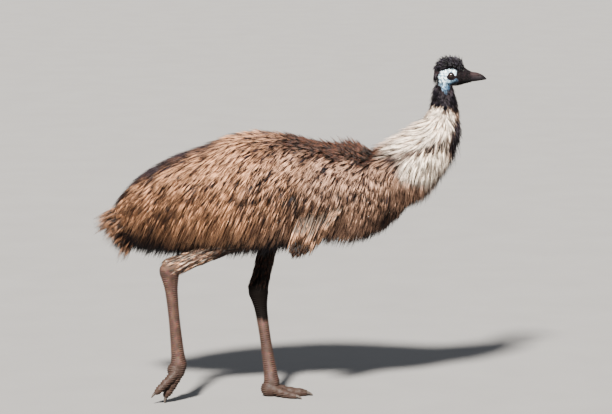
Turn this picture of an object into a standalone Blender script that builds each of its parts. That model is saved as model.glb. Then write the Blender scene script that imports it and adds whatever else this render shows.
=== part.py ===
"""Life-size still model of an emu in mid-stride, its right foot trailing on the tip of its middle toe.

Metres, +Z up. The bird faces +X, its left side is +Y, and it stands on Z = 0. X and Y are 0 at the
middle of the whole. Angles are in radians, unless a name ends in deg.
"""

import math

import bmesh
import bpy
import numpy as np
from mathutils import Vector
from mathutils.bvhtree import BVHTree

GAP = 0.0003  # between neighbouring pieces
SOCKET_GAP = 0.0004
SEED = 11
SIDES = {"left": 1.0, "right": -1.0}
SLIVER = 5e-6  # shorter edges, which a Boolean leaves, are closed up
FAR = 1.2  # half the side of a cutter that has to pass right through
OFF_MIDDLE = 0.001  # a seed is set off the plane of symmetry, where edges meet
SURFACES_TRIED = 40  # of the closed surfaces that cutting leaves, the largest

# The trunk from rump to throat, under the outer half of the coat. Each station has the axis's x and z,
# then the reach of the core to its back, its belly and its side, at right angles to the axis.
TRUNK = [
    (-0.662, 0.736, 0.014, 0.014, 0.012),
    (-0.622, 0.763, 0.062, 0.056, 0.054),
    (-0.535, 0.800, 0.106, 0.122, 0.108),
    (-0.425, 0.832, 0.138, 0.164, 0.150),
    (-0.300, 0.850, 0.168, 0.180, 0.178),
    (-0.170, 0.858, 0.200, 0.196, 0.192),
    (-0.030, 0.858, 0.194, 0.188, 0.188),
    (0.110, 0.855, 0.165, 0.160, 0.178),
    (0.230, 0.857, 0.138, 0.146, 0.160),
    (0.330, 0.872, 0.112, 0.126, 0.136),
    (0.412, 0.914, 0.092, 0.106, 0.108),
    (0.484, 0.972, 0.080, 0.092, 0.086),
    (0.545, 1.036, 0.068, 0.080, 0.070),
    (0.588, 1.104, 0.058, 0.070, 0.058),
    (0.605, 1.172, 0.048, 0.053, 0.044),
    (0.607, 1.240, 0.043, 0.041, 0.036),
    (0.610, 1.300, 0.034, 0.028, 0.028),
]
TRUNK_RINGS = 26
TRUNK_SIDES = 16
# Where one node of the trunk ends and the next begins: the station, and how far the cut leans from upright,
# its top towards +X, which follows the lie of the coat there.
CUTS = {
    "tail": (2.30, math.radians(34)),
    "rump": (6.75, math.radians(22)),
    "breast": (9.90, math.radians(-40)),
    "lower_neck": (13.50, math.radians(-76)),
    "upper_neck": (15.15, math.radians(-84)),
}
NODE_CUT_HALF_HEIGHT = 0.30
NODE_SEEDS = {"tail": 1.6, "rump": 4.5, "breast": 8.2, "lower_neck": 11.8, "upper_neck": 14.4}

# The head from the back of the skull to the tip of the bill, in the same columns.
HEAD = [
    (0.568, 1.307, 0.012, 0.014, 0.010),
    (0.581, 1.310, 0.033, 0.038, 0.025),
    (0.606, 1.312, 0.045, 0.048, 0.033),
    (0.636, 1.312, 0.047, 0.045, 0.035),
    (0.662, 1.307, 0.041, 0.036, 0.031),
    (0.688, 1.302, 0.031, 0.026, 0.024),
    (0.712, 1.2985, 0.0225, 0.0180, 0.0170),
    (0.735, 1.2960, 0.0210, 0.0125, 0.0125),
    (0.757, 1.2940, 0.0140, 0.0070, 0.0085),
    (0.7746, 1.2925, 0.0022, 0.0022, 0.0030),
]
HEAD_RINGS = 15
HEAD_SIDES = 12
BILL_BASE_X = 0.712
BILL_LEAN_DEG = 18  # the feathers reach further forward over the nostrils than on the chin
GAPE_X = 0.668
MOUTH_Z = 1.2915
MOUTH_SLIT = 0.0006
NOSTRIL = (0.7450, 0.0105, 1.3050)
NOSTRIL_SIZE = (0.0055, 0.0040, 0.0020)
EYE = (0.6318, 0.0262, 1.3088)
EYE_RADIUS = 0.0125
LID_THICKNESS = 0.0026
LID_OPENING = (0.0082, 0.0104)  # its reaches
LID_OPENING_ENDS = (0.006, 0.034)  # beyond the eye's centre
EYE_SIDES, EYE_RINGS = 12, 8
EAR = (0.6090, 0.0320, 1.2840)
EAR_REACHES = (0.0052, 0.00364, 0.00624)
HOLE_SIDES, HOLE_RINGS = 8, 6  # of an ear or a nostril
HEAD_SEEDS = {"head": (0.64, 1.30), "upper_bill": (0.730, 1.305), "lower_bill": (0.730, 1.287)}
BILL_CUT = (0.05, 0.06)  # half its width and height
MOUTH_BEYOND_TIP = 0.02
CROWN = [(1.0, 4), (1.8, 5), (2.6, 6), (3.5, 5)]  # rows of locks, as station and count
CROWN_TURN = math.radians(78)
CROWN_LENGTH = 0.034
CROWN_WIDTH = 0.0145
CROWN_DEPTH = 0.014
CROWN_SINK = 0.004
CROWN_PARTING = 0.55  # how far the crown's locks turn aside, as a share of where they stand

# The lie of the coat, in degrees from straight back along the axis towards the belly. The rows are
# stations of the trunk and the columns run from the back, over the side, to the belly.
LIE_STATIONS = [0, 3, 6, 9, 10.5, 12.5, 16]
LIE_TURNS = np.radians([0, 40, 90, 135, 180])
LIE_DEG = [
    (4, 14, 22, 20, 0),
    (8, 28, 40, 34, 0),
    (14, 56, 66, 52, 0),
    (10, 40, 68, 50, 0),
    (-8, -12, 24, 22, 0),
    (-14, -28, -2, 18, 0),
    (0, 4, 8, 8, 0),
]
# Sizes of the coat's locks at the same stations.
LOCK_LENGTH = [0.222, 0.160, 0.140, 0.130, 0.112, 0.092, 0.042]
LOCK_WIDTH = [0.052, 0.064, 0.069, 0.066, 0.056, 0.045, 0.027]
COAT_DEPTH = [0.044, 0.038, 0.032, 0.034, 0.044, 0.046, 0.013]
ROW_SPACING = [0.070, 0.081, 0.084, 0.081, 0.070, 0.058, 0.042]
LOCK_THICKNESS = 0.26  # of its width
LOCK_SINK = 0.016
TIP_GROW = 200.0  # a lock grown for its socket gets longer by this share of its last step, per metre grown
LOCK_PROFILE = (0.70, 1.0, 0.72)  # of its width, from the root towards the tip
T_FIRST_ROW = 0.7
T_LAST_ROW = 15.7
LOCK_COVER = 1.15  # spacing round the trunk, in widths
ROOT_SHIFT = (0.12, 0.22)  # at random, in stations and in spacings round the trunk
# The locks that hang low on the flanks, over the tops of the shanks, are longer.
FLANK = {"turn": math.radians(100), "spread": math.radians(24), "t": 4.6, "reach": 2.6, "longer": 0.55}
BELLY_TURN = math.radians(128)  # only every other lock is kept beyond it, from the belly back
BELLY_END = 8.2
# Tufts that stand up over the base of the neck, as station, turn, length and height.
CREST = [
    (8.60, -0.25, 0.105, 0.070),
    (8.75, 0.20, 0.110, 0.078),
    (9.05, -0.10, 0.110, 0.092),
    (9.15, 0.38, 0.100, 0.070),
    (9.20, -0.42, 0.105, 0.076),
    (9.55, 0.08, 0.105, 0.092),
    (9.70, -0.30, 0.095, 0.070),
    (9.95, 0.26, 0.085, 0.060),
]
CREST_WIDTH = 0.026
# The longest locks, at the tail's end, as root and tip.
TAIL_END = [
    ((-0.610, 0.000, 0.800), (-0.745, 0.006, 0.752)),
    ((-0.615, 0.026, 0.785), (-0.762, 0.040, 0.712)),
    ((-0.615, -0.026, 0.780), (-0.768, -0.030, 0.700)),
    ((-0.620, 0.022, 0.755), (-0.764, 0.016, 0.668)),
    ((-0.620, -0.030, 0.750), (-0.756, -0.058, 0.650)),
    ((-0.610, 0.036, 0.745), (-0.750, 0.062, 0.640)),
    ((-0.620, 0.000, 0.735), (-0.748, 0.000, 0.622)),
]
TAIL_END_WIDTH = 0.042
# The wing hangs in the coat: the path of its arm, with the arm's reaches, and its quills, as root and tip.
WING_PATH = [
    (0.262, 0.118, 0.890),
    (0.205, 0.146, 0.850),
    (0.135, 0.166, 0.765),
    (0.085, 0.178, 0.690),
    (0.055, 0.184, 0.640),
]
WING_ARM = [(0.010, 0.008), (0.034, 0.028), (0.036, 0.030), (0.028, 0.022), (0.008, 0.007)]
WING_SIDES = 8
WING_CLEARANCE = 0.034  # no lock of the coat is rooted this near the arm's path
WING_QUILLS = [
    ((0.205, 0.150, 0.850), (0.140, 0.206, 0.735)),
    ((0.180, 0.154, 0.835), (0.095, 0.212, 0.690)),
    ((0.150, 0.162, 0.820), (0.060, 0.208, 0.655)),
    ((0.160, 0.166, 0.790), (0.092, 0.218, 0.635)),
    ((0.115, 0.170, 0.780), (0.030, 0.208, 0.618)),
    ((0.132, 0.172, 0.750), (0.066, 0.214, 0.596)),
    ((0.096, 0.178, 0.735), (0.024, 0.202, 0.592)),
]
QUILL_WIDTH = 0.034
BEND = 0.008
HANG = np.array([-0.36, 0.0, -0.93])  # the way a lock falls where the skin under it turns inwards
HANG_FROM, HANG_OVER = 0.55, 0.75  # how the way it falls takes over as the skin's normal dips
WING_OUT = (0.2, 1.0, 0.25)  # the way the left wing's quills face
TAIL_OUT = (-0.5, 12.0, 0.8)  # the same for the tail's longest locks, with Y as a share of the root's

# Each leg's thigh, under the coat, then its knee, hock and foot joint.
LEGS = {
    "right": {
        "thigh": ((-0.125, -0.112, 0.762), (0.072, 0.044, 0.075)),
        "joints": ((-0.125, -0.128, 0.705), (-0.487, -0.105, 0.545), (-0.450, -0.095, 0.140)),
    },
    "left": {
        "thigh": ((-0.072, 0.112, 0.800), (0.062, 0.044, 0.072)),
        "joints": ((-0.050, 0.124, 0.800), (-0.137, 0.082, 0.432), (-0.079, 0.040, 0.042)),
    },
}
# Shares of the way from hock to knee and from hock to foot joint, with the reach fore and aft and sideways.
SHANK = [
    (1.00, 0.050, 0.044),
    (0.90, 0.062, 0.052),
    (0.74, 0.062, 0.051),
    (0.56, 0.052, 0.044),
    (0.38, 0.041, 0.035),
    (0.22, 0.0345, 0.029),
    (0.10, 0.036, 0.030),
    (0.00, 0.041, 0.033),
    (-0.05, 0.030, 0.024),
]
TARSUS = [
    (-0.055, 0.022, 0.020),
    (-0.02, 0.037, 0.031),
    (0.04, 0.040, 0.032),
    (0.10, 0.034, 0.027),
    (0.20, 0.0265, 0.0205),
    (0.34, 0.0235, 0.0180),
    (0.52, 0.0225, 0.0170),
    (0.72, 0.0245, 0.0180),
    (0.87, 0.0275, 0.0210),
    (0.96, 0.0320, 0.0260),
    (1.02, 0.0260, 0.0230),
]
HOCK_CUT = 0.085  # of the way along the tarsus
FOOT_CUT = 0.90
LEG_SIDES = 10
SHANK_LOCKS = 4  # in each of its rows
SHANK_ROWS = (0.56, 0.36)
# Along each of those locks: how far down the shank, the share of the shank's reach and the height over it.
SHANK_LOCK_SHAPE = [(0.0, 0.92, -0.010), (0.030, 0.90, -0.001), (0.062, 0.84, 0.005), (0.094, 0.80, 0.006)]
SHANK_LOCK_SIZE = (0.030, 0.008)  # width and thickness
LEG_CUT_HALF_SIDE = 0.09

# Each foot: the pad under the joint, and the ends of its toes with their claws' tips.
FEET = {
    "right": {
        "pad": ((-0.462, -0.095, 0.132), (0.036, 0.028, 0.036)),
        "middle": ((-0.4550, -0.095, 0.120), (-0.5020, -0.0990, 0.034), (-0.5090, -0.1000, -0.002)),
        "outer": ((-0.4640, -0.108, 0.122), (-0.5380, -0.1300, 0.050), (-0.5600, -0.1360, 0.028)),
        "inner": ((-0.4560, -0.082, 0.118), (-0.4880, -0.0640, 0.047), (-0.4990, -0.0590, 0.020)),
    },
    "left": {
        "pad": ((-0.088, 0.040, 0.030), (0.038, 0.030, 0.036)),
        "middle": ((-0.0700, 0.040, 0.032), (0.0500, 0.0420, 0.0130), (0.0850, 0.0430, 0.0030)),
        "outer": ((-0.0720, 0.052, 0.030), (0.0100, 0.0960, 0.0115), (0.0390, 0.1100, 0.0025)),
        "inner": ((-0.0720, 0.028, 0.030), (0.0120, -0.0180, 0.0115), (0.0400, -0.0330, 0.0025)),
    },
}
TOE_REACH = {"middle": 0.0180, "outer": 0.0148, "inner": 0.0152}
TOE_PROFILE = [
    (0.00, 1.15),
    (0.14, 1.05),
    (0.28, 1.14),
    (0.42, 0.98),
    (0.56, 1.08),
    (0.70, 0.90),
    (0.86, 0.96),
    (1.00, 0.70),
]
TOE_SAG = 2.2
TOE_ON_GROUND = 0.06  # a toe that starts lower than this lies along the ground
TOE_SIDES = 8
CLAW_PROFILE = [(0.0, 0.60), (0.35, 0.50), (0.70, 0.30)]
CLAW_DROP = 0.004

# The colour and roughness of each kind of node.
COLOURS = {
    "tail": ((0.150, 0.095, 0.055), 0.85),
    "rump": ((0.170, 0.110, 0.065), 0.85),
    "breast": ((0.140, 0.100, 0.075), 0.85),
    "wing": ((0.160, 0.110, 0.070), 0.85),
    "lower_neck": ((0.420, 0.360, 0.270), 0.85),
    "upper_neck": ((0.060, 0.055, 0.055), 0.80),
    "head": ((0.120, 0.130, 0.150), 0.75),
    "upper_bill": ((0.040, 0.036, 0.034), 0.40),
    "lower_bill": ((0.045, 0.040, 0.037), 0.40),
    "eye": ((0.060, 0.022, 0.010), 0.08),
    "shank": ((0.200, 0.150, 0.100), 0.75),
    "tarsus": ((0.170, 0.140, 0.120), 0.60),
    "foot": ((0.150, 0.125, 0.105), 0.60),
    "claw": ((0.045, 0.040, 0.036), 0.40),
}


def through(values, t):
    """A smooth curve through evenly numbered keys, read at t, which runs from 0 to the last key."""
    values = np.asarray(values, float)
    last = len(values) - 1
    t = np.clip(np.asarray(t, float), 0.0, last)
    i = np.minimum(t.astype(int), last - 1)
    f = t - i
    if values.ndim > 1:
        f = f[..., None]
    slope = np.gradient(values, axis=0)
    start, end = values[i], values[i + 1]
    curve = (2 * f**3 - 3 * f**2 + 1) * start + (3 * f**2 - 2 * f**3) * end
    return curve + (f**3 - 2 * f**2 + f) * slope[i] + (f**3 - f**2) * slope[i + 1]


def unit(v):
    return v / np.maximum(np.linalg.norm(v, axis=-1, keepdims=True), 1e-12)


class Loft:
    """A surface round an axis in the plane of symmetry. t runs over the stations. turn is 0 on the back,
    plus or minus a quarter turn on the left or right side, and a half turn on the belly."""

    def __init__(self, stations):
        self.stations = np.array(stations)
        self.end = len(stations) - 1

    def axis(self, t):
        """The axis's x and z at t, and its tangent there."""
        step = 0.02
        ahead = through(self.stations, np.minimum(t + step, self.end))[..., :2]
        behind = through(self.stations, np.maximum(t - step, 0))[..., :2]
        return through(self.stations, t)[..., :2], unit(ahead - behind)

    def point(self, t, turn):
        t, turn = np.broadcast_arrays(np.asarray(t, float), np.asarray(turn, float))
        reach = through(self.stations, t)[..., 2:]
        (axis, along) = self.axis(t)
        up = np.where(np.cos(turn) > 0, reach[..., 0], reach[..., 1]) * np.cos(turn)
        x, z = axis[..., 0] - along[..., 1] * up, axis[..., 1] + along[..., 0] * up
        return np.stack([x, reach[..., 2] * np.sin(turn), z], axis=-1)

    def frame(self, t, turn):
        """Unit vectors back along the axis, down round the side and outwards, and the two scales."""
        step = 0.01
        ahead, behind = np.minimum(t + step, self.end), np.maximum(t - step, 0)
        dt = (self.point(ahead, turn) - self.point(behind, turn)) / (ahead - behind)[..., None]
        dturn = (self.point(t, turn + step) - self.point(t, turn - step)) / (2 * step)
        side = np.where(turn >= 0, 1.0, -1.0)[..., None]
        scales = np.linalg.norm(dt, axis=-1), np.linalg.norm(dturn, axis=-1)
        return unit(-dt), unit(dturn) * side, unit(np.cross(dt, dturn)), scales

    def rings(self, count, sides, start=0.0):
        turns = np.arange(sides) * 2 * math.pi / sides
        return [self.point(t, turns) for t in np.linspace(start, self.end, count)]


trunk = Loft(TRUNK)
head = Loft(HEAD)


def lie_angle(t, turn):
    """The lie of the coat on the trunk, from straight back towards the belly."""
    rows = np.array([np.interp(np.abs(turn), LIE_TURNS, row) for row in LIE_DEG])
    at = np.interp(t, LIE_STATIONS, range(len(LIE_STATIONS)))
    low = np.minimum(at.astype(int), len(rows) - 2)
    pick = np.arange(len(t))
    part = at - low
    return np.radians(rows[low, pick] * (1 - part) + rows[low + 1, pick] * part)


def at_station(values, t):
    return np.interp(t, LIE_STATIONS, values)


def lock_paths(loft, lie, t, turn, length, depth, rings, sink=LOCK_SINK):
    """Centre lines of locks rooted at t and turn: points, widthwise vectors and normals, ring by ring."""
    t, turn = t.copy(), turn.copy()
    normal = loft.frame(t, turn)[2]
    point = loft.point(t, turn) - normal * sink
    step = (length / rings)[:, None]
    rise = ((depth + sink) / length)[:, None]
    points, widths, normals = [], [], []
    for _ in range(rings + 1):
        back, down, normal, (t_scale, turn_scale) = loft.frame(t, turn)
        angle = lie(t, turn)[:, None]
        lying = back * np.cos(angle) + down * np.sin(angle)
        held = np.clip((normal[:, 2:] + HANG_FROM) / HANG_OVER, 0, 1)
        way = unit(lying * held + HANG * (1 - held) + normal * rise)
        points.append(point)
        widths.append(unit(np.cross(normal, way)))
        normals.append(unit(np.cross(way, widths[-1])))
        point = point + way * step
        backwards = np.einsum("ij,ij->i", way, back) * step[:, 0] / t_scale
        downwards = np.einsum("ij,ij->i", way, down) * step[:, 0] / turn_scale
        t = np.clip(t - backwards, 0.05, loft.end)
        turn = turn + np.where(turn >= 0, 1, -1) * downwards
    return np.array(points), np.array(widths), np.array(normals)


def mesh_object(name, points, faces):
    mesh = bpy.data.meshes.new(name)
    mesh.from_pydata([tuple(map(float, p)) for p in points], [], faces)
    mesh.update()
    obj = bpy.data.objects.new(name, mesh)
    bpy.context.scene.collection.objects.link(obj)
    return obj


def facing_out(obj):
    """Turns the faces outwards and splits them into triangles."""
    work = bmesh.new()
    work.from_mesh(obj.data)
    bmesh.ops.recalc_face_normals(work, faces=work.faces)
    bmesh.ops.triangulate(work, faces=work.faces)
    if work.calc_volume(signed=True) < 0:
        bmesh.ops.reverse_faces(work, faces=work.faces)
    work.to_mesh(obj.data)
    work.free()
    return obj


def closed_rings(name, rings, tip=None):
    """A closed mesh through rings of points, fanned shut at both ends, or drawn out to a tip."""
    count = len(rings[0])
    points = [p for ring in rings for p in ring]
    faces = []
    for k in range(len(rings) - 1):
        for i in range(count):
            a, b = k * count + i, k * count + (i + 1) % count
            faces.append((a, b, b + count, a + count))
    last = (len(rings) - 1) * count
    faces.append(tuple(range(count))[::-1])
    if tip is None:
        faces.append(tuple(last + i for i in range(count)))
    else:
        points.append(tip)
        faces += [(last + i, last + (i + 1) % count, len(points) - 1) for i in range(count)]
    return facing_out(mesh_object(name, points, faces))


def tube(name, path, reaches, sides=LEG_SIDES, across=(0, 1, 0), grow=0.0):
    """A tube along a path, with each point's reach at right angles to the path and across it."""
    path = [Vector(p) for p in path]
    rings = []
    for k, point in enumerate(path):
        along = (path[min(k + 1, len(path) - 1)] - path[max(k - 1, 0)]).normalized()
        side = (Vector(across) - along * along.dot(Vector(across))).normalized()
        fore = side.cross(along)
        ahead, wide = reaches[k][0] + grow, reaches[k][1] + grow
        if k in (0, len(path) - 1):
            point = point + along * (grow if k else -grow)
        turns = [2 * math.pi * i / sides for i in range(sides)]
        rings.append([point + fore * ahead * math.cos(a) + side * wide * math.sin(a) for a in turns])
    return closed_rings(name, rings)


def ball(name, centre, reaches, sides=10, rings=6):
    """A closed ball stretched along X, Y and Z."""
    work = bmesh.new()
    bmesh.ops.create_uvsphere(work, u_segments=sides, v_segments=rings, radius=1.0)
    for vert in work.verts:
        vert.co = Vector(c + v * r for c, v, r in zip(centre, vert.co, reaches))
    mesh = bpy.data.meshes.new(name)
    work.to_mesh(mesh)
    work.free()
    obj = bpy.data.objects.new(name, mesh)
    bpy.context.scene.collection.objects.link(obj)
    return facing_out(obj)


def box(name, centre, reaches, lean=0.0):
    """A box by its half sides, turned about Y by lean, which tips its top towards +X."""
    cos, sin = math.cos(lean), math.sin(lean)
    points = []
    for sx in (-1, 1):
        for sy in (-1, 1):
            for sz in (-1, 1):
                x, y, z = sx * reaches[0], sy * reaches[1], sz * reaches[2]
                points.append((centre[0] + x * cos + z * sin, centre[1] + y, centre[2] - x * sin + z * cos))
    faces = [(0, 1, 3, 2), (4, 6, 7, 5), (0, 4, 5, 1), (2, 3, 7, 6), (0, 2, 6, 4), (1, 5, 7, 3)]
    return facing_out(mesh_object(name, points, faces))


def boolean(obj, others, operation, solver="MANIFOLD"):
    """Applies one Boolean with a collection of closed meshes, and removes them."""
    collection = bpy.data.collections.new(obj.name + "_others")
    bpy.context.scene.collection.children.link(collection)
    for other in others:
        for held in list(other.users_collection):
            held.objects.unlink(other)
        collection.objects.link(other)
    modifier = obj.modifiers.new("join", "BOOLEAN")
    modifier.operation = operation
    modifier.operand_type = "COLLECTION"
    modifier.collection = collection
    modifier.solver = solver
    bpy.context.view_layer.update()
    shown = obj.evaluated_get(bpy.context.evaluated_depsgraph_get())
    mesh = bpy.data.meshes.new_from_object(shown)
    obj.modifiers.clear()
    obj.data = mesh
    for other in list(collection.objects):
        bpy.data.objects.remove(other)
    bpy.data.collections.remove(collection)
    return obj


def closed_surfaces(obj):
    """The mesh's separate closed surfaces, as lists of points and triangles, largest volume first."""
    work = bmesh.new()
    work.from_mesh(obj.data)
    bmesh.ops.dissolve_degenerate(work, dist=SLIVER, edges=work.edges)
    bmesh.ops.triangulate(work, faces=work.faces)
    work.faces.ensure_lookup_table()
    seen = set()
    found = []
    for start in work.faces:
        if start.index in seen:
            continue
        seen.add(start.index)
        group, queue = [], [start]
        while queue:
            face = queue.pop()
            group.append(face)
            for edge in face.edges:
                for other in edge.link_faces:
                    if other.index not in seen:
                        seen.add(other.index)
                        queue.append(other)
        number = {index: i for i, index in enumerate(sorted({v.index for f in group for v in f.verts}))}
        triangles = [tuple(number[v.index] for v in face.verts) for face in group]
        work.verts.ensure_lookup_table()
        points = np.array([work.verts[index].co for index in number])
        corners = points[np.array(triangles)]
        volume = np.einsum("ij,ij->i", corners[:, 0], np.cross(corners[:, 1], corners[:, 2])).sum() / 6
        found.append((volume, points, triangles))
    work.free()
    return sorted(found, key=lambda entry: -entry[0])


def holds(points, triangles, seed):
    """Whether a closed surface holds the seed, from how often a ray out of it meets the surface."""
    tree = BVHTree.FromPolygons([tuple(p) for p in points], triangles)
    way = Vector((0.0123, 0.0231, 1.0)).normalized()
    start, hits = Vector(seed), 0
    while True:
        hit, _, _, _ = tree.ray_cast(start, way)
        if hit is None:
            return hits % 2 == 1
        hits += 1
        start = hit + way * 1e-6


def parted(obj, seeds):
    """Splits a cut mesh into named nodes, each the closed surface round its seed, and drops the scraps."""
    surfaces = closed_surfaces(obj)[:SURFACES_TRIED]
    for name, seed in seeds.items():
        kept = next((s for s in surfaces if s[0] > 0 and holds(s[1], s[2], seed)), None)
        if kept is None:
            raise ValueError(f"no closed surface holds the seed of {name}")
        mesh_object(name, kept[1], kept[2])
    bpy.data.objects.remove(obj)


def lock_mesh(name, points, widths, normals, width, thickness, grow=0.0):
    """One flat lock, three-sided in section, that tapers to its tip."""
    rings = []
    for k, share in enumerate(LOCK_PROFILE):
        half, ridge = width * share / 2 + 2 * grow, thickness * share + grow
        middle = points[k] - normals[k] * grow - (points[1] - points[0]) * (TIP_GROW * grow if k == 0 else 0)
        rings.append([middle - widths[k] * half, middle + normals[k] * ridge, middle + widths[k] * half])
    tip = points[-1] + (points[-1] - points[-2]) * TIP_GROW * grow
    return closed_rings(name, rings, tip=tip)


def trunk_roots(rng):
    """Roots of the coat's locks, in staggered rows round the trunk: stations and turns."""
    ts, turns = [], []
    t, odd = T_FIRST_ROW, 0.0
    around = np.linspace(-math.pi, math.pi, 73)
    while t < T_LAST_ROW:
        ring = trunk.point(t, around)
        walked = np.concatenate([[0], np.cumsum(np.linalg.norm(np.diff(ring, axis=0), axis=1))])
        count = max(6, round(walked[-1] / (at_station(LOCK_WIDTH, t) * LOCK_COVER)))
        places = (np.arange(count) + odd + rng.uniform(-ROOT_SHIFT[1], ROOT_SHIFT[1], count)) / count % 1.0
        row = t + rng.uniform(-ROOT_SHIFT[0], ROOT_SHIFT[0], count)
        row_turns = np.interp(places * walked[-1], walked, around)
        kept = (np.abs(row_turns) < BELLY_TURN) | (np.arange(count) % 2 == 0) | (t > BELLY_END)
        ts.extend(row[kept])
        turns.extend(row_turns[kept])
        scale = np.linalg.norm(trunk.axis(np.array(t + 0.5))[0] - trunk.axis(np.array(t))[0]) / 0.5
        t += at_station(ROW_SPACING, t) / scale
        odd = 0.5 - odd
    return np.clip(ts, 0.3, trunk.end), np.array(turns)


def flank(t, turn):
    """How much longer the locks are low on the flanks."""
    off = ((np.abs(turn) - FLANK["turn"]) / FLANK["spread"]) ** 2 + ((t - FLANK["t"]) / FLANK["reach"]) ** 2
    return 1 + FLANK["longer"] * np.exp(-off)


def trunk_locks():
    """The coat's locks on the trunk, clear of the wings' arms."""
    rng = np.random.default_rng(SEED)
    t, turn = trunk_roots(rng)
    clear = off_wing(trunk.point(t, turn))
    t, turn = t[clear], turn[clear]
    size = rng.uniform(0.88, 1.12, len(t))
    length = at_station(LOCK_LENGTH, t) * size * flank(t, turn)
    depth = at_station(COAT_DEPTH, t) * rng.uniform(0.75, 1.15, len(t))
    width = at_station(LOCK_WIDTH, t) * rng.uniform(0.85, 1.15, len(t))
    return locks_at(trunk, lie_angle, t, turn, length, depth, width)


def locks_at(loft, lie, t, turn, length, depth, width, sink=LOCK_SINK):
    """Locks rooted at the given stations and turns, as meshes."""
    points, widths, normals = lock_paths(loft, lie, t, turn, length, depth, len(LOCK_PROFILE), sink)
    return [
        lock_mesh("lock", points[:, i], widths[:, i], normals[:, i], width[i], width[i] * LOCK_THICKNESS)
        for i in range(len(t))
    ]


def crest_locks():
    t, turn, length, depth = np.array(CREST).T
    return locks_at(trunk, straight_back, t, turn, length, depth, np.full(len(t), CREST_WIDTH))


def straight_back(t, turn):
    return np.zeros(len(t))


def crown_lie(t, turn):
    return np.abs(turn) * CROWN_PARTING


def crown_locks():
    rng = np.random.default_rng(SEED)
    ts, turns = [], []
    for k, (t, count) in enumerate(CROWN):
        places = (np.arange(count) + 0.5) / count * 2 - 1
        turns.extend(places * CROWN_TURN + rng.uniform(-0.06, 0.06, count))
        ts.extend(t + rng.uniform(-0.08, 0.08, count))
    t, turn = np.array(ts), np.array(turns)
    length = CROWN_LENGTH * rng.uniform(0.85, 1.15, len(t))
    depth = CROWN_DEPTH * rng.uniform(0.7, 1.2, len(t))
    return locks_at(head, crown_lie, t, turn, length, depth, np.full(len(t), CROWN_WIDTH), CROWN_SINK)


def quill(root, tip, out, width, grow=0.0):
    """A long lock from root to tip that bends outwards on its way."""
    root, tip = np.array(root), np.array(tip)
    way = unit(tip - root)
    across = unit(np.cross(out, way))
    out = unit(np.cross(way, across))
    points = [root + (tip - root) * s + out * BEND * math.sin(math.pi * s) for s in (0, 0.35, 0.7, 1)]
    return lock_mesh("quill", points, [across] * 4, [out] * 4, width, width * LOCK_THICKNESS, grow)


def tail_end():
    back, aside, up = TAIL_OUT
    return [quill(root, tip, (back, root[1] * aside, up), TAIL_END_WIDTH) for root, tip in TAIL_END]


def wing_pieces(side, grow=0.0):
    """The wing's arm and its long quills, which hang out of the coat, grown for the socket or not."""
    made = [tube("arm", [(x, y * side, z) for x, y, z in WING_PATH], WING_ARM, WING_SIDES, grow=grow)]
    mirror = np.array([1, side, 1])
    for root, tip in WING_QUILLS:
        made.append(quill(root * mirror, tip * mirror, WING_OUT * mirror, QUILL_WIDTH, grow))
    return made


def off_wing(points):
    """Which roots lie clear of both wings' arms."""
    path = np.array(WING_PATH)
    ends = np.stack([path[:-1], path[1:]], axis=1)
    clear = np.ones(len(points), bool)
    mirrored = points * np.where(points[:, 1:2] < 0, [1, -1, 1], 1)
    for a, b in ends:
        share = np.clip((mirrored - a) @ (b - a) / ((b - a) @ (b - a)), 0, 1)[:, None]
        clear &= np.linalg.norm(mirrored - a - (b - a) * share, axis=1) > WING_CLEARANCE
    return clear


def leg_pieces(side, grow=0.0):
    """The thigh and shank, grown for the socket or not."""
    thigh, reaches = LEGS[side]["thigh"]
    knee, hock, _ = (Vector(p) for p in LEGS[side]["joints"])
    path = [hock + (knee - hock) * share for share, _, _ in SHANK]
    return [
        ball("thigh", thigh, [r + grow for r in reaches]),
        tube("shank", path, [entry[1:] for entry in SHANK], grow=grow),
    ]


def shank_locks(side, grow=0.0):
    """Flat locks that lie down the feathered part of the shank."""
    knee, hock, _ = (Vector(p) for p in LEGS[side]["joints"])
    along = (hock - knee).normalized()
    made = []
    for row, share in enumerate(SHANK_ROWS):
        reach = np.interp(share, [e[0] for e in SHANK[::-1]], [e[1] for e in SHANK[::-1]])
        start = hock + (knee - hock) * share
        across = along.cross(Vector((0, 1, 0))).normalized()
        for i in range(SHANK_LOCKS):
            a = 2 * math.pi * (i + row % 2 / 2) / SHANK_LOCKS
            out = across * math.cos(a) + Vector((0, 1, 0)) * math.sin(a)
            out = (out - along * out.dot(along)).normalized()
            width = out.cross(along)
            points = np.array([start + along * s + out * (reach * r + h) for s, r, h in SHANK_LOCK_SHAPE])
            widths, normals = [np.array(width)] * len(points), [np.array(out)] * len(points)
            made.append(lock_mesh("shank_lock", points, widths, normals, *SHANK_LOCK_SIZE, grow))
    return made


def toe_path(start, end):
    """The middle line of a toe, which sags to the ground early if it starts near it."""
    start, end = Vector(start), Vector(end)
    path = []
    for share, _ in TOE_PROFILE:
        point = start.lerp(end, share)
        if start.z < TOE_ON_GROUND:
            point.z = end.z + (start.z - end.z) * (1 - share) ** TOE_SAG
        path.append(point)
    return path


def floor_cut(obj):
    return boolean(obj, [box("floor", (0, 0, -0.1), (FAR, FAR, 0.1))], "DIFFERENCE")


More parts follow.
